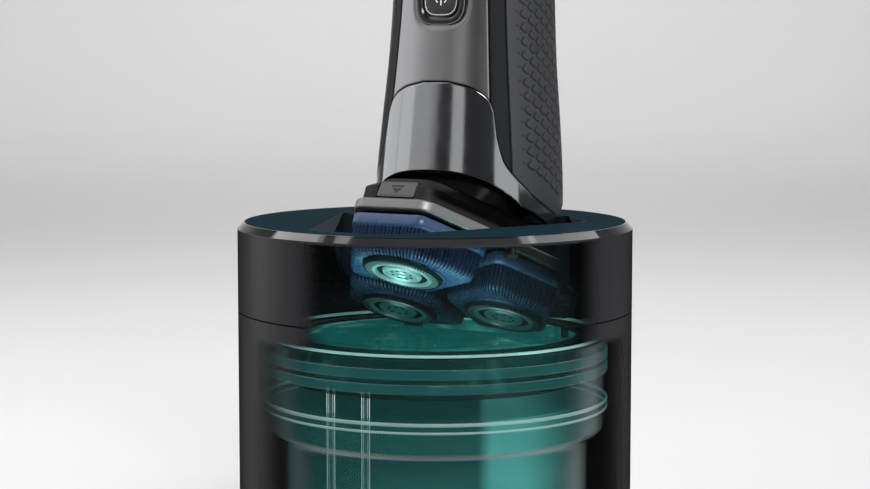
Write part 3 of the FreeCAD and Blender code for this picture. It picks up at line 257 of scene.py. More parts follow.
def plain(name, colour, rough, mottle=0.1, grain=None, rough_share=0.15, **sockets):
    """Opaque surface, slightly uneven, with a grain of (scale, strength) where it has one."""
    s = Shader(name, colour, rough, **sockets)
    s.mottle(mottle, rough_share=rough_share)
    if grain:
        s.grain(*grain)


def clear(name, colour, rough, film, edge, **sockets):
    """See-through plastic: a film over what lies behind it, denser where seen edge on."""
    s = Shader(name, colour, rough, **sockets)
    s.mottle(0.05)
    s.feed("Alpha", s.spread(s.facing(), 0.15, 0.95, film, edge))


def glow(s):
    """Share of the painted glow that the fluid gives off, across the pod."""
    across = s.dot(GLOW_ACROSS)
    stretch = s.math("MULTIPLY", s.spread(across, *GLOW_RISE),
                     s.spread(across, *GLOW_FALL, 1.0, 0.0))
    return s.math("MULTIPLY", stretch, s.spread(from_axis(s), *GLOW_REACH))


def fluid_material():
    """Teal cleaning fluid in the cartridge, with a painted glow, brightest in a stretch across
    the pod.
    """
    s = Shader("wash_fluid", (0.02, 0.2, 0.17), 0.08, IOR=1.33, Alpha=0.34,
               Emission_Strength=0.9)
    # painted glow: the fluid gives off light, most in the bright stretch
    share = s.math("MULTIPLY", glow(s), s.spread(s.noise(45.0), 0.2, 0.8, 0.7, 1.1))
    s.feed("Emission Color", s.mix(share, (0.004, 0.05, 0.047), (0.15, 0.68, 0.63)))


def cup_material():
    """Clear teal plastic, denser in the ribs that stand out from the collar; painted glow in
    those ribs, paler thin ribs and pale glowing edges stand for light.
    """
    s = Shader("cartridge_teal", (0.2, 0.3, 0.29), 0.1, Emission_Strength=0.4)
    towards, height = front_and_height(s)
    rib = s.spread(from_axis(s), *RIB_REACH)
    thin = s.math("MULTIPLY", rib, s.spread(height, *THIN_RIBS_Z, 1.0, 0.0))
    facing = s.facing()
    # painted sheen: edges seen at a slant turn pale and glow, most on the side towards the
    # window
    soft = s.math("MULTIPLY", s.spread(facing, 0.8, 0.97, 1.0, 0.3),
                  s.spread(towards, 0.05, 0.5, 0.2, 1.0))
    edge = s.math("MULTIPLY", soft, s.spread(facing, 0.3, 0.8))
    wall = s.mix(edge, (0.02, 0.12, 0.115), (0.34, 0.4, 0.41))
    # painted highlight: the thin ribs paler, as if light fell on them from above
    s.feed("Base Color", s.mix(thin, wall, (0.6, 0.66, 0.66)))
    # painted glow: teal in the ribs, pale grey on the edges
    lit = s.mix(rib, (0.0, 0.0, 0.0), (0.05, 0.6, 0.56))
    s.feed("Emission Color", s.mix(edge, lit, (0.24, 0.26, 0.27)))
    film = s.math("ADD", s.spread(edge, 0.0, 1.0, 0.05, 0.42), s.math("MULTIPLY", rib, 0.12))
    s.feed("Alpha", s.math("ADD", film, s.math("MULTIPLY", thin, 0.24)))
    s.feed("Roughness", s.spread(s.noise(120.0), 0.3, 0.7, 0.08, 0.14))


def tube_material(name):
    """Clear tube whose edges glow with a painted highlight."""
    s = Shader(name, (0.75, 0.85, 0.84), 0.1, Emission_Strength=4.0)
    s.mottle(0.05)
    edge = s.spread(s.facing(), 0.35, 0.85)
    s.feed("Alpha", s.spread(edge, 0.0, 1.0, 0.1, 0.95))
    # painted highlight: the edges give off light
    s.feed("Emission Color", s.mix(edge, (0.0, 0.01, 0.01), (0.3, 0.36, 0.36)))


def pool_material():
    """Swirling teal fluid under the heads, glowing with painted light in darker and brighter
    streaks.
    """
    s = Shader("wash_pool", (0.01, 0.13, 0.11), 0.07, IOR=1.33, Alpha=0.85,
               Emission_Strength=0.6)
    swirl = s.noise(34.0, 4.0, 2.2)
    painted_streak = s.spread(swirl, 0.52, 0.8)
    # painted glow and highlights: the fluid gives off light in streaks
    s.feed("Emission Color", s.mix(painted_streak, (0.002, 0.1, 0.092), (0.1, 0.62, 0.52)))
    s.bump(swirl, 0.5, 1.2 * MM)


def unit_base_material():
    """Grey in front and beside the bezel, black on the slopes that face the sides."""
    s = Shader("base_grey", (0.014, 0.0145, 0.0145), 0.5)
    upright = Vector((0, math.sin(HEAD_TILT), math.cos(HEAD_TILT)))
    heads = upright.dot(Vector((0, HEAD_Y, HEAD_Z))) * MM
    depth = s.math("SUBTRACT", s.dot(upright), heads)
    sideways = s.math("ABSOLUTE", s.add("SeparateXYZ", s.place()).outputs[0])
    slope = s.math("MULTIPLY", s.spread(sideways, *BASE_SIDE_X),
                   s.spread(depth, *BASE_SIDE_DEPTH, 0.0, 0.9))
    dark = s.math("MAXIMUM", slope, s.spread(depth, *BASE_BACK_DEPTH))
    grey = s.mix(s.cloud(), (0.0134, 0.0139, 0.0139), (0.0146, 0.0151, 0.0151))
    s.feed("Base Color", s.mix(dark, grey, (0.001, 0.001, 0.0012)))
    s.feed("Specular IOR Level", s.spread(dark, 0.0, 1.0, 0.1, 0.0))
    s.grain(3200.0, 0.06)


def skirt_material():
    """Blue plastic, dull in the grooves between the ribs, with painted shade that turns the
    grooves and the ribbed sides navy.
    """
    s = Shader("skirt_blue", (0.02, 0.035, 0.075), 0.3)
    groove, cloud = s.groove(), s.cloud(260.0)
    blue = s.mix(cloud, (0.027, 0.055, 0.115), (0.038, 0.073, 0.145))
    # painted shade: navy where the groove mark is high
    s.feed("Base Color", s.mix(groove, blue, (0.002, 0.003, 0.012)))
    s.feed("Roughness", s.spread(cloud, 0.3, 0.7, 0.22, 0.34))
    s.feed("Specular IOR Level", s.spread(groove, 0.0, 0.6, 0.3, 0.04))


def grip_material():
    """Soft rubber, with painted shade darkening the grooves round the scales."""
    s = Shader("grip_rubber", (0.036, 0.037, 0.04), 0.52, Specular_IOR_Level=0.3)
    cloud = s.cloud()
    s.vary_gloss(cloud)
    rubber = s.mix(cloud, (0.034, 0.035, 0.038), (0.039, 0.04, 0.043))
    # painted shade in the grooves round the scales
    deep = s.spread(s.groove(), 0.15, 0.8)
    s.feed("Base Color", s.mix(deep, rubber, (0.004, 0.004, 0.005)))
    s.grain(2600.0, 0.12)


# One look for each material slot of the record.
pod_material()
cup_material()
fluid_material()
unit_base_material()
skirt_material()
grip_material()
plain("deck", (0.0075, 0.021, 0.028), 0.5, 0.06, (2600.0, 0.1), Specular_IOR_Level=0.0,
      Coat_Weight=0.03, Coat_Roughness=0.3)
plain("dark_plastic", (0.006, 0.0065, 0.007), 0.5, 0.15, (1800.0, 0.2), Specular_IOR_Level=0.15)
clear("clear_plastic", (0.2, 0.3, 0.3), 0.1, 0.01, 0.06)
plain("seal_rubber", (0.02, 0.02, 0.022), 0.7, 0.2, (2200.0, 0.25))
plain("screw_steel", (0.3, 0.3, 0.32), 0.35, Metallic=1.0)
clear("tray_plastic", (0.002, 0.012, 0.014), 0.5, 0.4, 0.7, Specular_IOR_Level=0.1)
plain("filter_mesh", (0.25, 0.28, 0.28), 0.4, 0.2, Metallic=1.0)
plain("silver", (0.18, 0.18, 0.183), 0.5, 0.05, (3000.0, 0.06), Metallic=0.65)
# painted light: the teal tint of the guards' steel stands for the pool's teal light on it
plain("guard_steel", (0.62, 0.74, 0.74), 0.36, 0.06, Metallic=0.8)
plain("cutter_steel", (0.4, 0.44, 0.46), 0.3, Metallic=1.0)
plain("gear_plastic", (0.72, 0.71, 0.66), 0.5, 0.05, (1500.0, 0.1))
plain("black_gloss", (0.007, 0.007, 0.008), 0.2, Specular_IOR_Level=0.4)
plain("neck_gunmetal", (0.2, 0.203, 0.21), 0.12, 0.03, Metallic=0.95)
plain("front_grey", (0.2, 0.2, 0.205), 0.29, 0.03, rough_share=0.03, Metallic=0.95)
plain("button_dark", (0.014, 0.014, 0.016), 0.3, 0.1, (2400.0, 0.06))
plain("motor_steel", (0.5, 0.5, 0.52), 0.35, Metallic=1.0)
plain("battery_wrap", (0.04, 0.2, 0.12), 0.4)
plain("board_green", (0.01, 0.11, 0.05), 0.45)

# CAD nodes whose look differs from the rest of their slot.
SPECIAL = {"neck_core": "neck_black", "dock_funnel": "dock_throat", "wash_pool": "wash_pool",
           "cover_screws": "screw_black", "cover_seal": "clear_seal",
           "feed_tube": "feed_tube", "return_tube": "return_tube"}
plain("neck_black", (0.004, 0.004, 0.005), 0.5, Specular_IOR_Level=0.0, Coat_Weight=0.03,
      Coat_Roughness=0.2)
funnel_material()
pool_material()
plain("screw_black", (0.012, 0.012, 0.013), 0.6)
clear("clear_seal", (0.03, 0.04, 0.04), 0.5, 0.05, 0.2)
tube_material("feed_tube")
tube_material("return_tube")

# Looks of pieces drawn here that differ from the rest of their slot.
# painted shade: the black of the guards' slots, tracks and rim
plain("painted_opening_shade", (0.004, 0.012, 0.012), 0.5, Specular_IOR_Level=0.05)
plain("strip_black", (0.011, 0.012, 0.013), 0.45, 0.08, Specular_IOR_Level=0.1)
# painted highlight: the bead round the cartridge's rim glows pale teal
clear("bead", (0.75, 0.82, 0.8), 0.15, 0.55, 0.95, Emission_Color=(0.25, 0.6, 0.56, 1),
      Emission_Strength=1.1)
plain("mark_white", (0.75, 0.76, 0.77), 0.4, 0.02)
plain("release_grey", (0.045, 0.045, 0.048), 0.4, 0.08, (2400.0, 0.06))


def dress_cad_nodes():
    for row in frame["record"]["subparts"]:
        node = row["node"]
        NODES[node].data.materials.clear()
        NODES[node].data.materials.append(LOOKS[SPECIAL.get(node, row["material_slot"])])


# ---- geometry helpers -------------------------------------------------------
def add_mesh(name, form, body, slot, nodes=(), look=None, matrix=None, sharp=40.0):
    """Piece from points in millimetres and faces, riding on a body, standing for CAD nodes.

    It looks like its slot unless it is given its own look. Edges sharper than the last
    angle stay sharp in its shading.
    """
    points, faces = form
    if matrix is not None:
        m = np.array(matrix)
        points = points @ m[:3, :3].T + m[:3, 3]
    mesh = bpy.data.meshes.new(name)
    mesh.from_pydata((points * MM).tolist(), [], [tuple(map(int, f)) for f in faces])
    mesh.validate()
    work = bmesh.new()
    work.from_mesh(mesh)
    bmesh.ops.recalc_face_normals(work, faces=work.faces)
    work.to_mesh(mesh)
    work.free()
    mesh.shade_smooth()
    mesh.set_sharp_from_angle(angle=math.radians(sharp))
    mesh.materials.append(LOOKS[look or slot])
    piece = in_scene(name, mesh)
    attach(piece, body)
    if nodes:
        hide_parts(*nodes)
    return piece


def mark_groove_shade(piece, depths):
    """Stores how deep in a groove each point lies, from 0 to 1, for the painted shade of the
    piece's material.
    """
    mark = piece.data.attributes.new("groove", "FLOAT", "POINT")
    mark.data.foreach_set("value", np.clip(depths, 0, 1).astype(np.float32))


def rounded(profile, radius, closed=True, steps=3):
    """Polyline with its corners rounded; a corner may carry its own radius as third value."""
    out, count = [], len(profile)
    for i, corner in enumerate(profile):
        here = np.array(corner[:2], float)
        own = corner[2] if len(corner) > 2 else radius
        if (not closed and i in (0, count - 1)) or own == 0:
            out.append(tuple(here))
            continue
        before = np.array(profile[i - 1][:2], float) - here
        after = np.array(profile[(i + 1) % count][:2], float) - here
        reach = min(own, 0.45 * norm(before), 0.45 * norm(after))
        a = here + before / norm(before) * reach
        b = here + after / norm(after) * reach
        for k in range(steps + 1):
            t = k / steps
            out.append(tuple((1 - t) ** 2 * a + 2 * t * (1 - t) * here + t * t * b))
    return out


def lofted(rings, closed=False, cap=(False, False)):
    """Points and quads through rings with the same number of points."""
    count, n = len(rings), len(rings[0])
    points = np.concatenate(rings)
    faces = []
    for i in range(count if closed else count - 1):
        j = (i + 1) % count
        for k in range(n):
            m = (k + 1) % n
            faces.append((i * n + k, i * n + m, j * n + m, j * n + k))
    if cap[0]:
        faces.append(tuple(range(n))[::-1])
    if cap[1]:
        faces.append(tuple(range((count - 1) * n, count * n)))
    return points, faces


def turned_rings(profile, segments):
    """Rings round Z from (radius, z) points."""
    angles = np.arange(segments) * 2 * math.pi / segments
    wheel = np.stack([np.cos(angles), np.sin(angles), np.zeros(segments)], 1)
    return [wheel * r + (0, 0, z) for r, z in profile]


def turned_form(profile, segments=192):
    """Closed form from a closed outline of (radius, z) points."""
    return lofted(turned_rings(profile, segments), closed=True)


def offset_corners(corners, distances):
    """Polygon, counter-clockwise, whose edge from corner i on is moved in by distance i."""
    count, out = len(corners), []
    distances = np.broadcast_to(distances, count)
    for i in range(count):
        p, q, r = (np.array(corners[(i + k) % count], float) for k in (-1, 0, 1))
        u, v = (q - p) / norm(q - p), (r - q) / norm(r - q)
        turn = u[0] * v[1] - u[1] * v[0]
        out.append(q + (v * distances[i - 1] - u * distances[i]) / turn)
    return out


def outline(corners, radius, distance, arc, total=None):
    """Rounded outline as points; a total spreads that many evenly along it."""
    corners = offset_corners(corners, distance)
    count, points = len(corners), []
    for i in range(count):
        here = corners[i]
        before, after = corners[i - 1] - here, corners[(i + 1) % count] - here
        before, after = before / norm(before), after / norm(after)
        half = math.acos(np.clip(before @ after, -1, 1)) / 2
        middle = (before + after) / norm(before + after)
        centre = here + middle * radius / math.sin(half)
        start = here + before * radius / math.tan(half) - centre
        end = here + after * radius / math.tan(half) - centre
        a0, a1 = math.atan2(start[1], start[0]), math.atan2(end[1], end[0])
        sweep = (a1 - a0 + math.pi) % (2 * math.pi) - math.pi
        for k in range(arc + 1):
            angle = a0 + sweep * k / arc
            points.append(centre + radius * np.array((math.cos(angle), math.sin(angle))))
    if total is None:
        return np.array(points)
    loop = np.array(points + points[:1])
    run = np.concatenate([[0], np.cumsum(norm(np.diff(loop, axis=0), axis=1))])
    at = np.arange(total) * run[-1] / total
    return np.stack([np.interp(at, run, loop[:, i]) for i in (0, 1)], 1)


def raised(flat, z):
    return np.column_stack([flat, np.full(len(flat), z)])


# ---- shaving unit -----------------------------------------------------------
UNIT = (Matrix.Translation((0, HEAD_Y, HEAD_Z))
        @ Matrix.Rotation(math.pi - HEAD_TILT, 4, "X"))
UNIT_CORNER_R = 5.0
SKIRT_CORNER_R = 3.0
EDGE_IN, GAP_IN = 0.5, 1.6
SKIRT_ARC, SKIRT_POINTS = 14, 720
# Insets of each skirt, edge by edge from the unit's centre round.
SKIRT_INSETS = {
    "front": (GAP_IN, EDGE_IN, EDGE_IN, EDGE_IN, GAP_IN),
    "left": (GAP_IN, EDGE_IN, GAP_IN, GAP_IN, GAP_IN),
    "right": (GAP_IN, GAP_IN, GAP_IN, EDGE_IN, GAP_IN),
}
# Side: share of the flare, further inset, depth behind the heads, share of the ribs' depth.
SKIRT_SIDE = (
    (1, 1.0, 11.9, 0), (1, 0.15, 11.9, 0), (1, 0.0, 11.7, 0), (1, 0.0, 9.3, 0),
    (0.98, 0.1, 8.95, 0), (0.94, 0.4, 8.7, 0), (0.92, 0.5, 8.5, 0.5), (0.9, 0.52, 8.2, 1),
    (0.76, 0.56, 5.6, 1), (0.6, 0.62, 4.4, 1), (0.42, 0.74, 3.0, 1), (0.28, 0.9, 1.95, 1),
    (0.15, 1.25, 1.3, 1), (0, 1.9, 0.97, 1), (0, 2.8, 0.9, 0.9), (0, 3.7, 0.95, 0.4),
    (0, 4.1, 1.0, 0),
)
# Lip and bore round the guard: radius, depth.
SKIRT_BORE = ((12.3, 0.95), (12.15, 0.55), (11.9, 0.35), (11.5, 0.35), (11.3, 0.6),
              (11.25, 1.2), (11.25, 4.0), (10.1, 4.2), (10.1, 11.9))
FACE_INSET = 1.4          # inset from which the skirts' side counts as their face
RIB_PITCH, RIB_DEPTH = 1.15, 0.32
SIDE_SHADE = 0.72         # painted shade: how dark the ribs are on the skirts' sides


def turned(x, y, degrees):
    a = math.radians(degrees)
    return x * math.cos(a) - y * math.sin(a), x * math.sin(a) + y * math.cos(a)


def unit_corners():
    return [turned(side * UNIT_EDGE_HALF, UNIT_EDGE, angle)
            for angle in (0, 120, 240) for side in (1, -1)]


def head_matrix(name):
    turn = Matrix.Rotation(math.radians(HEAD_TURNS[name]), 4, "Z")
    return UNIT @ turn @ Matrix.Translation((0, HEAD_PITCH_R, 0))


def petal_corners():
    """Corners of one head's skirt, with the head's centre as origin."""
    corners = unit_corners()
    (x0, y0), (x1, y1) = corners[0], corners[5]
    half_x, half_y = (x0 + x1) / 2, (y0 + y1) / 2
    petal = [(0, 0), (half_x, half_y), (x0, y0), (-x0, y0), (-half_x, half_y)]
    return [(x, y - HEAD_PITCH_R) for x, y in petal]


def head_skirt(name):
    """Blue surround: a smooth band, a bright edge, and ribs that run over onto the face, with
    painted shade in the grooves and on the ribbed sides.
    """
    corners = petal_corners()
    base = outline(corners, SKIRT_CORNER_R, GAP_IN, SKIRT_ARC, SKIRT_POINTS)
    length = norm(np.roll(base, -1, 0) - base, axis=1).sum()
    ribs = round(length / RIB_PITCH)
    wave = np.cos(np.arange(SKIRT_POINTS) * 2 * math.pi * ribs / SKIRT_POINTS)
    groove = np.clip((wave - 0.1) * 1.7, 0, 1)
    towards = -base / norm(base, axis=1)[:, None]
    rings, shade_marks = [], []
    for flare, further, depth, share in SKIRT_SIDE:
        insets = [GAP_IN + flare * (own - GAP_IN) + further for own in SKIRT_INSETS[name]]
        flat = outline(corners, SKIRT_CORNER_R, insets, SKIRT_ARC, SKIRT_POINTS)
        cut = groove * share * RIB_DEPTH
        ring = raised(flat + towards * cut[:, None], -depth)
        ring[:, 2] -= cut * (1.0 if further > FACE_INSET else 0.3)
        rings.append(ring)
        # painted shade in the grooves, and over the ribs on the sides between these depths
        shade_marks.append(np.maximum(groove, SIDE_SHADE if 2.0 < depth < 9.0 else 0) * share)
    angles = np.arctan2(rings[-1][:, 1], rings[-1][:, 0])
    wheel = np.column_stack([np.cos(angles), np.sin(angles)])
    for radius, depth in SKIRT_BORE:
        flat = wheel * np.minimum(radius, norm(rings[-1][:, :2], axis=1))[:, None]
        rings.append(raised(flat, -depth))
        shade_marks.append(np.zeros(SKIRT_POINTS))
    piece = add_mesh("skirt_" + name, lofted(rings, closed=True), "head_" + name, "skirt_blue",
                     ["head_skirt_" + name], matrix=head_matrix(name), sharp=55.0)
    mark_groove_shade(piece, np.concatenate(shade_marks))


# Thin bars across the guards' outer track: how many, reach, width, heights, lean in radians.
BARS, BAR_R, BAR_W, BAR_Z, BAR_LEAN = 60, (8.35, 10.4), 0.19, (0.2, 0.4), 0.1
BAR_FACES = ((0, 1, 3, 2), (4, 6, 7, 5), (0, 4, 5, 1), (2, 3, 7, 6), (1, 5, 7, 3), (0, 2, 6, 4))


def track_bars():
    """Points and faces of the bars, each of them leaning a little."""
    points, faces = [], []
    for i in range(BARS):
        middle = 2 * math.pi * i / BARS
        for r, swing in zip(BAR_R, (-BAR_LEAN / 2, BAR_LEAN / 2)):
            for side in (-0.5, 0.5):
                angle = middle + swing + side * BAR_W / r
                points += [(r * math.cos(angle), r * math.sin(angle), z) for z in BAR_Z]
        faces += [tuple(8 * i + k for k in face) for face in BAR_FACES]
    return np.array(points), faces


def joined(parts):
    """Points and faces of several forms as one."""
    points, faces, start = [], [], 0
    for p, f in parts:
        points.append(p)
        faces += [tuple(i + start for i in face) for face in f]
        start += len(p)
    return np.concatenate(points), faces


# The guards' steel, its dark tracks and its dark rim, black as painted shade: (radius, height
# over the heads' plane).
GUARD_FACE = (
    (0.0, 0.3), (1.2, 0.3), (1.35, 0.05), (1.6, 0.05), (1.75, 0.3), (3.9, 0.34), (4.05, 0.08),
    (4.3, 0.08), (4.45, 0.5), (5.3, 0.52), (5.5, -0.15), (7.2, -0.15), (7.4, 0.6), (7.8, 0.7),
    (8.3, 0.66), (8.45, 0.2), (8.5, -0.1), (7.9, -0.3), (0.0, -0.9),
)
GUARD_TRACKS = (
    ((5.6, -0.16), (7.1, -0.16), (7.1, -0.06), (5.6, -0.06)),
    ((8.5, -0.1), (10.5, -0.1), (10.5, 0.26), (8.5, 0.3)),
)
GUARD_RIM = (
    (10.3, 0.15), (10.3, 0.5), (10.45, 0.5), (10.8, 0.25), (11.2, -0.4), (11.2, -4.0),
    (10.7, -4.0), (10.7, -0.1),
)
GUARD_SEGMENTS = 144
HUB_SLOTS, HUB_SLOT_R, HUB_SLOT_SIZE = 8, 2.85, (0.42, 0.55)


def hub_slot(degrees):
    """Dark oval in the guard's hub: a slot in painted shade."""
    angles = np.arange(10) * 2 * math.pi / 10
    x = HUB_SLOT_R + HUB_SLOT_SIZE[0] * np.cos(angles)
    flat = np.column_stack(turned(x, HUB_SLOT_SIZE[1] * np.sin(angles), degrees))
    middle = flat.mean(0)
    return lofted([raised(flat, 0.1), raised(flat, 0.34),
                   raised(middle + (flat - middle) * 0.7, 0.38)], cap=(True, True))


def head_guard(name):
    """Steel cap: a slotted outer track, a smooth inner track and a hub with small slots; its
    slots, dark tracks and rim are black pieces of painted shade.
    """
    face = rounded(GUARD_FACE, 0.12, closed=False, steps=2)
    steel = [lofted(turned_rings(face, GUARD_SEGMENTS)), track_bars()]
    # painted shade: black pieces for the slots, the tracks and the rim
    dark = [hub_slot(360 * k / HUB_SLOTS) for k in range(HUB_SLOTS)]
    dark.append(turned_form(rounded(GUARD_RIM, 0.12, steps=2), GUARD_SEGMENTS))
    dark += [turned_form(track, GUARD_SEGMENTS) for track in GUARD_TRACKS]
    matrix, body = head_matrix(name), "head_" + name
    add_mesh("guard_" + name, joined(steel), body, "guard_steel", ["head_guard_" + name],
             matrix=matrix, sharp=30.0)
    add_mesh("guard_opening_shade_" + name, joined(dark), body, "cutter_steel",
             look="painted_opening_shade", matrix=matrix, sharp=30.0)


def bezel():
    """Silver band round the whole shaving unit, with a narrow chamfer below and above."""
    profile = [(0.35, 13.22), (0.0, 13.57), (0.0, 15.9), (0.75, 16.5), (2.2, 16.5),
               (2.2, 13.22)]
    rings = [raised(outline(unit_corners(), UNIT_CORNER_R, inset, 10), -depth)
             for inset, depth in rounded(profile, 0.12)]
    add_mesh("bezel_band", lofted(rings, closed=True), "shaver", "silver", ["bezel"],
             matrix=UNIT, sharp=30.0)


# ---- handle -----------------------------------------------------------------
# Sections of the outer skin: height above the deck, centre y, half width, half depth.
HANDLE_SECTIONS = np.array((
    (-8.0, 19.4, 26.4, 22.4), (10.0, 19.8, 26.3, 22.2), (26.0, 20.6, 25.2, 21.3),
    (44.0, 21.5, 23.6, 20.2), (62.0, 22.3, 22.7, 19.3), (92.0, 23.0, 22.2, 19.0),
    (120.0, 23.4, 22.7, 19.4), (135.0, 23.6, 22.6, 19.3),
))
SECTION_POWER = 2.5
AXIS_Y = 22.0
HANDLE_TOP = DECK_Z + 135.0
SKIN_END_H = 27.0          # lower end of the skin, behind the heads
HEEL_Y, HEEL_LIFT, HEEL_RISE = 26.0, 0.9, math.radians(27.0)
CHIN_Y, CHIN_LIFT, CHIN_FALL = -2.1, 13.7, math.radians(46.4)
# Seam above the neck panel, seen from the side: height above the deck, y.
NECK_SEAM = np.array((
    (-2.5, 28.0), (0.6, 22.7), (5.5, 13.1), (10.5, 7.3), (13.5, 5.0), (16.6, 3.65),
    (20.0, 3.25), (24.6, 3.1), (28.0, 3.17), (30.4, 3.35), (32.4, 3.28), (34.0, 2.95),
    (35.6, 2.39), (36.6, 1.84), (37.3, 1.44), (37.8, 1.08), (38.2, 0.87), (38.6, 0.72),
    (39.0, -0.6), (39.6, -6.0),
))
FRONT_HALF, STRIP_HALF = math.radians(40.0), math.radians(52.0)
MEAN_R = 21.0              # for lengths round the skin
SKIN_T = 1.7
NECK_LEAST = 1.1           # the neck panel goes round as far as it is this high
SEAM_GAP = 0.11
EDGE_R = 0.4
EDGE_STEPS = np.array((0.0, 0.06, 0.16, 0.3, 0.5))     # points across a panel's edge
POWER_Z, POWER_LEAN = DECK_Z + 62.0, math.radians(4.5)
POWER_Y = 3.3
SQUIRCLE_POWER = 3.2
# Recess round the power button: reach, width of its slope, depth.
DISH_REACH, DISH_SLOPE, DISH_DEPTH = 9.3, 1.3, 0.35
POCKET_REACH, POCKET_SLOPE, POCKET_DEPTH = 7.6, 0.3, 1.25
SCALE_ACROSS, SCALE_UP = 2.6, 3.8
SCALE_HALF_W, SCALE_HALF_H, SCALE_POWER = 1.7, 1.4, 1.4
SCALE_DEPTH, SCALE_GROOVE = 0.28, 0.17
SCALES_FROM_SIDE, SCALES_FROM_END = 2.4, 5.0     # plain border of the grip


def smooth_curve(knots, at):
    """Cubic through the knots (x, values...), with averaged slopes."""
    x, y = knots[:, 0], knots[:, 1:]
    slope = np.gradient(y, x, axis=0)
    i = np.clip(np.searchsorted(x, at) - 1, 0, len(x) - 2)
    width = (x[i + 1] - x[i])[..., None]
    t = (at - x[i])[..., None] / width
    return ((2 * t**3 - 3 * t**2 + 1) * y[i] + (t**3 - 2 * t**2 + t) * width * slope[i]
            + (3 * t**2 - 2 * t**3) * y[i + 1] + (t**3 - t**2) * width * slope[i + 1])


def skin_point(phi, z):
    """Point of the handle's skin at an angle round its axis, 0 in front, and a height."""
    centre, half_w, half_d = np.moveaxis(smooth_curve(HANDLE_SECTIONS, z - DECK_Z), -1, 0)
    low, high = np.zeros_like(z), np.full_like(z, 40.0)
    for _ in range(34):
        r = (low + high) / 2
        x, y = r * np.sin(phi), AXIS_Y - r * np.cos(phi) - centre
        outside = np.abs(x / half_w) ** SECTION_POWER + np.abs(y / half_d) ** SECTION_POWER > 1
        low, high = np.where(outside, low, r), np.where(outside, r, high)
    return np.stack([high * np.sin(phi), AXIS_Y - high * np.cos(phi), z], -1)


def above_seam(y, z):
    return y - smooth_curve(NECK_SEAM, z - DECK_Z)[..., 0]


def above_lower_end(y, z):
    """Over the handle's lower end: a steep chin, a plane along the shaving unit, a heel."""
    plane = HEAD_Z + (SKIN_END_H - math.sin(HEAD_TILT) * (y - HEAD_Y)) / math.cos(HEAD_TILT)
    chin = DECK_Z + CHIN_LIFT - (y - CHIN_Y) * math.tan(CHIN_FALL)
    heel = DECK_Z + HEEL_LIFT + (y - HEEL_Y) * math.tan(HEEL_RISE)
    return z - np.maximum(plane, np.maximum(chin, heel))


def meeting_height(phi, above):
    """Where the skin at each angle meets a surface, found by halving the range of heights."""
    low = np.full_like(phi, DECK_Z + NECK_SEAM[0, 0])
    high = np.full_like(phi, DECK_Z + NECK_SEAM[-1, 0])
    for _ in range(30):
        middle = (low + high) / 2
        over = above(skin_point(phi, middle)[..., 1], middle) > 0
        low, high = np.where(over, low, middle), np.where(over, middle, high)
    return middle


def steps_along(length, step):
    """Distances along a panel, closer together at both of its edges."""
    near = EDGE_STEPS[-1]
    count = max(2, int(round((length - 2 * near) / step)))
    middle = np.linspace(near, length - near, count + 1)[1:-1]
    return np.concatenate([EDGE_STEPS, middle, length - EDGE_STEPS[::-1]])


def skin_patch(name, phi0, phi1, low, high, step, slot, nodes, relief=None, look=None):
    """Closed panel of the handle's skin, with rounded edges and an optional relief."""
    along = steps_along((phi1 - phi0) * MEAN_R, step)
    phi = phi0 + along / MEAN_R
    z0, z1 = low(phi) + SEAM_GAP, high(phi) - SEAM_GAP
    rows = steps_along(float((z1 - z0).max()), step)
    near = len(EDGE_STEPS)
    share = np.linspace(0, 1, len(rows) - 2 * near + 2)[1:-1]
    up = np.zeros((len(phi), len(rows)))
    up[:, :near] = z0[:, None] + rows[:near]
    up[:, -near:] = z1[:, None] - rows[:near][::-1]
    inner = (z0 + rows[near - 1])[:, None], (z1 - rows[near - 1])[:, None]
    up[:, near:-near] = inner[0] + (inner[1] - inner[0]) * share
    phi_grid = np.repeat(phi[:, None], len(rows), 1)
    points = skin_point(phi_grid, up)
    d = 0.02
    normal = np.cross(skin_point(phi_grid + d / MEAN_R, up) - points,
                      skin_point(phi_grid, up + d) - points)
    normal /= norm(normal, axis=-1, keepdims=True)
    side = np.minimum(along, along[-1] - along)[:, None]
    edge = np.minimum(side, np.minimum(up - z0[:, None], z1[:, None] - up))
    inside = np.clip(EDGE_R - edge, 0, EDGE_R)
    drop = EDGE_R - np.sqrt(EDGE_R**2 - inside**2)
    height = relief(phi_grid, up, side, up - z0[:, None]) if relief else 0.0
    outer = points + normal * (height - drop)[..., None]
    back = points - normal * SKIN_T
    nu, nv = len(phi), len(rows)
    faces = []
    index = np.arange(nu * nv).reshape(nu, nv)
    under = index + nu * nv
    for a, flip in ((index, False), (under, True)):
        quads = np.stack([a[:-1, :-1], a[1:, :-1], a[1:, 1:], a[:-1, 1:]], -1).reshape(-1, 4)
        faces += (quads[:, ::-1] if flip else quads).tolist()
    rim = np.concatenate([index[:, 0], index[-1, 1:], index[-2::-1, -1], index[0, -2:0:-1]])
    rim2 = rim + nu * nv
    for k in range(len(rim)):
        m = (k + 1) % len(rim)
        faces.append((rim[m], rim[k], rim2[k], rim2[m]))
    form = np.stack([outer, back]).reshape(-1, 3), faces
    piece = add_mesh(name, form, "shaver", slot, nodes, look, sharp=50.0)
    if relief:
        mark_groove_shade(piece, np.append(-height / SCALE_DEPTH, np.zeros(nu * nv)))


def squircle_reach(phi, z):
    """Distance from the middle of the power button, measured to squircles round it."""
    point = skin_point(phi, z)
    x, up = point[..., 0], (z - POWER_Z) / math.cos(POWER_LEAN)
    return (np.abs(x) ** SQUIRCLE_POWER + np.abs(up) ** SQUIRCLE_POWER) ** (1 / SQUIRCLE_POWER)


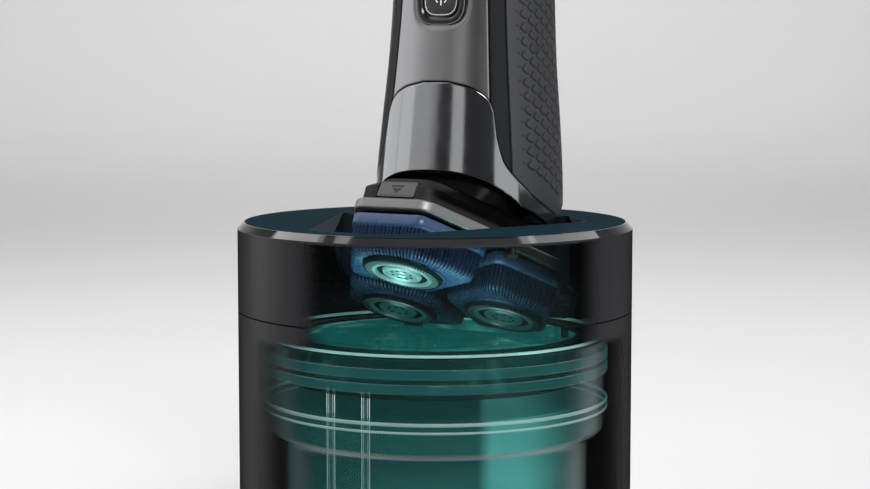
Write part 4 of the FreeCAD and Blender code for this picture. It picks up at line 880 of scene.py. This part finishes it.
def power_recess(phi, z, side, up):
    """Shallow dish round the button's ring, and a pocket for the button."""
    reach = squircle_reach(phi, z)
    dish = np.clip((DISH_REACH - reach) / DISH_SLOPE, 0, 1)
    pocket = np.clip((POCKET_REACH - reach) / POCKET_SLOPE, 0, 1)
    return -DISH_DEPTH * dish * dish * (3 - 2 * dish) - POCKET_DEPTH * pocket


def scales(phi, z, side, up):
    """Staggered scales, each with a curved groove round its front half."""
    s = side - 3.0
    column = np.floor(s / SCALE_ACROSS + 0.5)
    relief = np.zeros_like(z)
    for step in (-1, 0, 1):
        c = column + step
        x = s - c * SCALE_ACROSS
        shift = (c % 2) * SCALE_UP / 2
        y = (z - shift + SCALE_UP / 2) % SCALE_UP - SCALE_UP / 2
        n = (np.abs(x / SCALE_HALF_W) ** SCALE_POWER
             + np.abs(y / SCALE_HALF_H) ** SCALE_POWER) ** (1 / SCALE_POWER)
        front = np.clip((np.where(y < 0, 0.6, -0.2) - x) / 0.5, 0, 1)
        groove = np.exp(-((n - 1) / SCALE_GROOVE) ** 2) * front
        relief = np.minimum(relief, -SCALE_DEPTH * groove)
    border = (np.clip((side - SCALES_FROM_SIDE) / 0.5, 0, 1)
              * np.clip((up - SCALES_FROM_END) / 1.2, 0, 1))
    return relief * border


def handle_skins():
    """Front panel, black strips beside it, grip round the back, and the neck panel."""
    def top(phi):
        return np.full_like(phi, HANDLE_TOP)

    def seam(phi):
        return meeting_height(phi, above_seam)

    def end(phi):
        return meeting_height(phi, above_lower_end)

    def grip_end(phi):
        return np.maximum(seam(phi), end(phi))

    gap = SEAM_GAP / MEAN_R
    skin_patch("front_shell", -FRONT_HALF + gap, FRONT_HALF - gap, seam, top, 0.5,
               "front_grey", ["front_panel"], power_recess)
    for side, sign in (("right", 1), ("left", -1)):
        a, b = sorted((sign * (FRONT_HALF + gap), sign * (STRIP_HALF - gap)))
        skin_patch("side_strip_" + side, a, b, seam, top, 1.0, "black_gloss",
                   ["side_strips"], look="strip_black")
    skin_patch("grip_shell", STRIP_HALF + gap, 2 * math.pi - STRIP_HALF - gap, grip_end, top,
               0.33, "grip_rubber", ["rear_grip"], scales)
    trial = np.linspace(0, 2.4, 400)
    last = trial[np.argmax(seam(trial) - end(trial) < NECK_LEAST) - 1]
    skin_patch("neck_shell", -last, last, end, seam, 0.6, "neck_gunmetal", ["neck_panel"])


# ---- cartridge --------------------------------------------------------------
CART_R, COLLAR_R, CART_WALL = 43.0, 47.6, 1.6
CART_BOTTOM, CART_FLOOR = 6.0, 1.8
COLLAR_Z, COLLAR_SLOPE = CART_TOP - 26.4, 2.5
RIM_T = 1.3
RIB_PROUD = 0.8
# Ribs round the collar: upper and lower edge, below the rim.
RIB_DROPS = ((3.8, 6.4), (7.8, 10.3), (17.8, 18.7), (20.1, 20.7))


def cartridge():
    """Clear cup with soft-edged ribs, and the pale bead round its rim, which glows as a painted
    highlight.
    """
    bore, collar_bore = CART_R - CART_WALL, COLLAR_R - CART_WALL
    floor, rim_under = CART_BOTTOM + CART_FLOOR, CART_TOP - RIM_T
    profile = [
        (0, CART_BOTTOM), (CART_R, CART_BOTTOM, 1.6), (CART_R, COLLAR_Z - COLLAR_SLOPE, 1.5),
        (COLLAR_R, COLLAR_Z, 1.5),
    ]
    for upper, lower in reversed(RIB_DROPS):
        profile += [(COLLAR_R, CART_TOP - lower), (COLLAR_R + RIB_PROUD, CART_TOP - lower),
                    (COLLAR_R + RIB_PROUD, CART_TOP - upper), (COLLAR_R, CART_TOP - upper)]
    profile += [
        (COLLAR_R, rim_under), (collar_bore, rim_under), (collar_bore, COLLAR_Z),
        (bore, COLLAR_Z - COLLAR_SLOPE), (bore, floor, 1.2), (0, floor),
    ]
    add_mesh("cartridge_form", turned_form(rounded(profile, 0.32)), "cartridge",
             "cartridge_teal", ["cartridge_cup"])
    bead = [(COLLAR_R - 0.9, CART_TOP - 0.75), (COLLAR_R - 0.05, CART_TOP - 0.75),
            (COLLAR_R - 0.05, CART_TOP), (COLLAR_R - 0.9, CART_TOP)]
    add_mesh("cartridge_bead", turned_form(rounded(bead, 0.35)), "cartridge", "tray_plastic",
             look="bead")


# ---- buttons ----------------------------------------------------------------
RELEASE_H0, RELEASE_H = 17.1, 4.8          # depth behind the heads, and height
RELEASE_HALF_W, RELEASE_T, RELEASE_LEAN = 5.75, 1.2, 1.0
RELEASE_FACE = 33.5


def release_point(x, up, out):
    """Point on the head release button, from its lower edge up and out of its face."""
    return x, RELEASE_FACE + out - RELEASE_LEAN * up / RELEASE_H, -(RELEASE_H0 + up)


def release_part(name, corners, low, high, edge, slot, nodes=(), look=None):
    """Flat form on the head release button with a bevelled front, drawn by its corners."""
    corners = np.array(corners)
    middle = np.mean(corners, 0)
    reach = np.abs(corners - middle).max()
    rings = [np.array([release_point(*(middle + (c - middle) * share), out) for c in corners])
             for share, out in ((1, low), (1, high - edge), (1 - edge / reach, high))]
    add_mesh(name, lofted(rings, cap=(True, True)), "head_release", slot, nodes, look, UNIT,
             30.0)


def bar_corners(x0, x1, y0, y1, radius):
    return rounded([(x0, y0), (x1, y0), (x1, y1), (x0, y1)], radius, steps=4)


def head_release():
    """Button with a bright lower lip, and an arrow that points to the heads."""
    half = RELEASE_HALF_W
    release_part("release_form", bar_corners(-half, half, 0, RELEASE_H, 0.6), -RELEASE_T, 0.0,
                 0.18, "button_dark", ["head_release_button"], "release_grey")
    lip = bar_corners(-half + 0.6, half - 0.6, 0.22, 0.62, 0.15)
    release_part("release_lip", lip, -0.3, 0.0, 0.05, "silver")
    for name, corners in (("release_arrow", [(0, 1.15), (1.55, 2.75), (-1.55, 2.75)]),
                          ("release_bar", bar_corners(-1.9, 1.9, 3.1, 3.65, 0.2))):
        release_part(name, corners, -0.3, 0.02, 0.02, "black_gloss")


POWER_HALF, RING_HALF = 5.5, 7.8
POWER_DEPTH, RING_PROUD, RING_DEPTH = 3.2, 0.4, 1.7
SYMBOL_R, STROKE_HALF = 2.0, 0.17


def power_point(x, up, out):
    """Point in front of the power button's face, which leans back with the panel."""
    return (x, POWER_Y + up * math.sin(POWER_LEAN) - out * math.cos(POWER_LEAN),
            POWER_Z + up * math.cos(POWER_LEAN) + out * math.sin(POWER_LEAN))


def squircle(half, count=96):
    """Points of a rounded square, of the given half width."""
    angles = np.arange(count) * 2 * math.pi / count
    wheel = np.stack([np.cos(angles), np.sin(angles)], 1)
    return half * np.sign(wheel) * np.abs(wheel) ** (2 / SQUIRCLE_POWER)


def power_rings(profile):
    """Rings round the middle of the power button, from (half width, out) corners."""
    return [np.array([power_point(x, y, out) for x, y in squircle(half)])
            for half, out in profile]


def power_band(name, profile, body, slot, nodes=(), look=None):
    form = lofted(power_rings(rounded(profile, 0.14)), closed=True)
    add_mesh(name, form, body, slot, nodes, look)


def power_button():
    """Dark button with a pale outline and the usual power symbol, in a glossy ring."""
    button, ring, proud = POWER_HALF, RING_HALF, RING_PROUD
    form = power_rings([(button, -POWER_DEPTH), (button, -0.35), (button - 0.1, -0.12),
                        (button - 0.4, 0.0), (button - 2.5, -0.12), (0.3, -0.16)])
    add_mesh("power_form", lofted(form, cap=(True, True)), "power_switch", "button_dark",
             ["power_button"])
    line = [(button - 0.62, -0.2), (button - 0.42, -0.2), (button - 0.42, 0.02),
            (button - 0.62, 0.02)]
    power_band("power_outline", line, "power_switch", "silver", look="mark_white")
    body = [(button + 0.3, -RING_DEPTH), (ring, -RING_DEPTH), (ring, proud - 0.25),
            (ring - 0.6, proud), (button + 0.9, proud), (button + 0.3, proud - 0.5)]
    power_band("power_ring_form", body, "shaver", "black_gloss", ["power_ring"])
    edge = [(ring - 0.28, proud - 0.9), (ring - 0.02, proud - 0.9), (ring - 0.02, proud - 0.14),
            (ring - 0.28, proud - 0.05)]
    power_band("power_ring_line", edge, "shaver", "silver")
    arc = np.radians(np.linspace(-235.0, 55.0, 40))
    outer = [(SYMBOL_R * math.cos(a), SYMBOL_R * math.sin(a)) for a in arc]
    inside = SYMBOL_R - 2 * STROKE_HALF
    inner = [(inside * math.cos(a), inside * math.sin(a)) for a in arc[::-1]]
    symbol_stroke("power_arc", outer + inner)
    symbol_stroke("power_bar", [(-STROKE_HALF, 0.2), (STROKE_HALF, 0.2), (STROKE_HALF, 2.35),
                                (-STROKE_HALF, 2.35)])


def symbol_stroke(name, corners):
    """Printed stroke: a thin closed strip on the button's face, upside down like the shaver."""
    count = len(corners)
    rings = [np.array([power_point(-x, -y, out) for x, y in corners]) for out in (-0.3, -0.09)]
    points = np.concatenate(rings)
    faces = [(k, (k + 1) % count, count + (k + 1) % count, count + k) for k in range(count)]
    half = count // 2
    for k in range(half - 1):
        a, b = k, count - 1 - k
        faces += [(a, a + 1, b - 1, b), (count + a, count + b, count + b - 1, count + a + 1)]
    add_mesh(name, (points, faces), "power_switch", "silver", look="mark_white", sharp=30.0)


# ---- floor and studio -------------------------------------------------------
FLOOR_REACH, WALL_AWAY, WALL_CURVE, WALL_TOP, CURVE_STEPS = 5.0, 2.7, 0.8, 3.4, 12
RIM_HEIGHT, RIM_LIGHT_AWAY = 0.1, 0.9


def add_floor():
    """Floor that curves up into a wall, square to the camera."""
    mesh = bpy.data.meshes.new("floor")
    profile = [(-FLOOR_REACH, 0.0), (WALL_AWAY, 0.0)]
    for i in range(1, CURVE_STEPS + 1):
        angle = math.pi / 2 * i / CURVE_STEPS
        profile.append((WALL_AWAY + WALL_CURVE * math.sin(angle),
                        WALL_CURVE * (1 - math.cos(angle))))
    profile.append((WALL_AWAY + WALL_CURVE, WALL_TOP))
    verts = [(x, y, z) for y, z in profile for x in (-FLOOR_REACH, FLOOR_REACH)]
    faces = [(2 * i, 2 * i + 1, 2 * i + 3, 2 * i + 2) for i in range(len(profile) - 1)]
    mesh.from_pydata(verts, [], faces)
    mesh.shade_smooth()
    floor = in_scene("floor", mesh)
    floor.rotation_euler = (0, 0, CAMERA_TURN)
    s = Shader("floor", (0.62, 0.62, 0.62), 0.75)
    s.mottle(0.02, 4.0)
    mesh.materials.append(s.material)


def add_light(name, place, target, size, watts, spread=180.0, colour=(1, 1, 1)):
    data = bpy.data.lights.new(name, "AREA")
    data.shape = "RECTANGLE"
    data.size, data.size_y = size
    data.energy = watts
    data.color = colour
    data.spread = math.radians(spread)
    light = in_scene(name, data)
    light.location = place
    aim = Vector(target) - Vector(place)
    light.rotation_euler = aim.to_track_quat("-Z", "Y").to_euler()
    return light


def seen_from_rim(azimuth, elevation):
    """Place over the pod, at an elevation from its rim."""
    low = math.radians(elevation)
    return Vector(around(azimuth, RIM_LIGHT_AWAY * math.cos(low),
                         RIM_HEIGHT + RIM_LIGHT_AWAY * math.sin(low)))


def add_rim_light(name, first, last, width, watts):
    """Long softbox between two directions over the pod, mirrored in part of its chamfer."""
    start, end = seen_from_rim(*first), seen_from_rim(*last)
    middle, along = (start + end) / 2, end - start
    rim = Vector((0, 0, RIM_HEIGHT))
    light = add_light(name, middle, rim, (along.length, width), watts)
    z = (middle - rim).normalized()
    x = (along - z * along.dot(z)).normalized()
    light.rotation_euler = Matrix((x, z.cross(x), z)).transposed().to_euler()


# Softboxes: name, place (azimuth, distance, height), target, size, watts, spread if narrow.
SOFTBOXES = (
    ("left_box", (-112, 0.62, 0.45), (0, 0.01, 0.4), (0.36, 0.9), 2.0),
    ("left_inner", (-86, 0.62, 0.5), (0, 0.01, 0.45), (0.22, 0.8), 1.1),
    ("left_front", (-68, 0.62, 0.5), (0, 0.01, 0.45), (0.18, 0.8), 0.5),
    ("right_box", (72, 0.75, 0.5), (0, 0.01, 0.4), (0.45, 0.75), 1.0),
    ("right_front", (31, 0.75, 0.22), (0, 0.01, 0.2), (0.64, 0.42), 1.25),
    ("front_strip", (-43, 0.9, 0.4), (0, 0, 0.3), (0.2, 0.6), 0.5),
    ("front_high", (12, 0.8, 0.8), (0, 0, 0.08), (0.5, 0.3), 1.6, 70.0),
)
SKY, SKY_STRENGTH = (0.75, 0.78, 0.82, 1), 0.06


def add_studio():
    """Softboxes round the shaver, two over the rim, two on floor and wall, and a pool light."""
    for name, place, *more in SOFTBOXES:
        add_light(name, around(*place), *more)
    add_rim_light("rim_left", (-135, 38), (-113, 57), 0.26, 0.58)
    add_rim_light("rim_right", (137, 36), (102, 65), 0.45, 2.0)
    for name, place, target, size, watts in (
            ("backdrop", (0.35, 1.5), (1.15, 0.2), (1.6, 0.8), 12.0),
            ("wall_wash", (1.7, 2.4), (3.5, 0.6), (3.0, 1.0), 36.0)):
        add_light(name, around(180, *place), around(180, *target), size, watts, 120.0)
    add_light("pool_glow", (0.013, -0.026, 0.0772), (0.013, -0.01, 0.1), (0.066, 0.026), 0.017,
              95.0, (0.45, 1.0, 0.94))
    world = bpy.data.worlds.new("studio")
    world.use_nodes = True
    background = world.node_tree.nodes["Background"]
    background.inputs[0].default_value = SKY
    background.inputs[1].default_value = SKY_STRENGTH
    bpy.context.scene.world = world
    bpy.context.scene.view_settings.view_transform = "Standard"


for head in HEAD_TURNS:
    head_skirt(head)
for head in HEAD_TURNS:
    head_guard(head)
bezel()
handle_skins()
cartridge()
head_release()
power_button()
add_camera()
dress_cad_nodes()
add_floor()
add_studio()
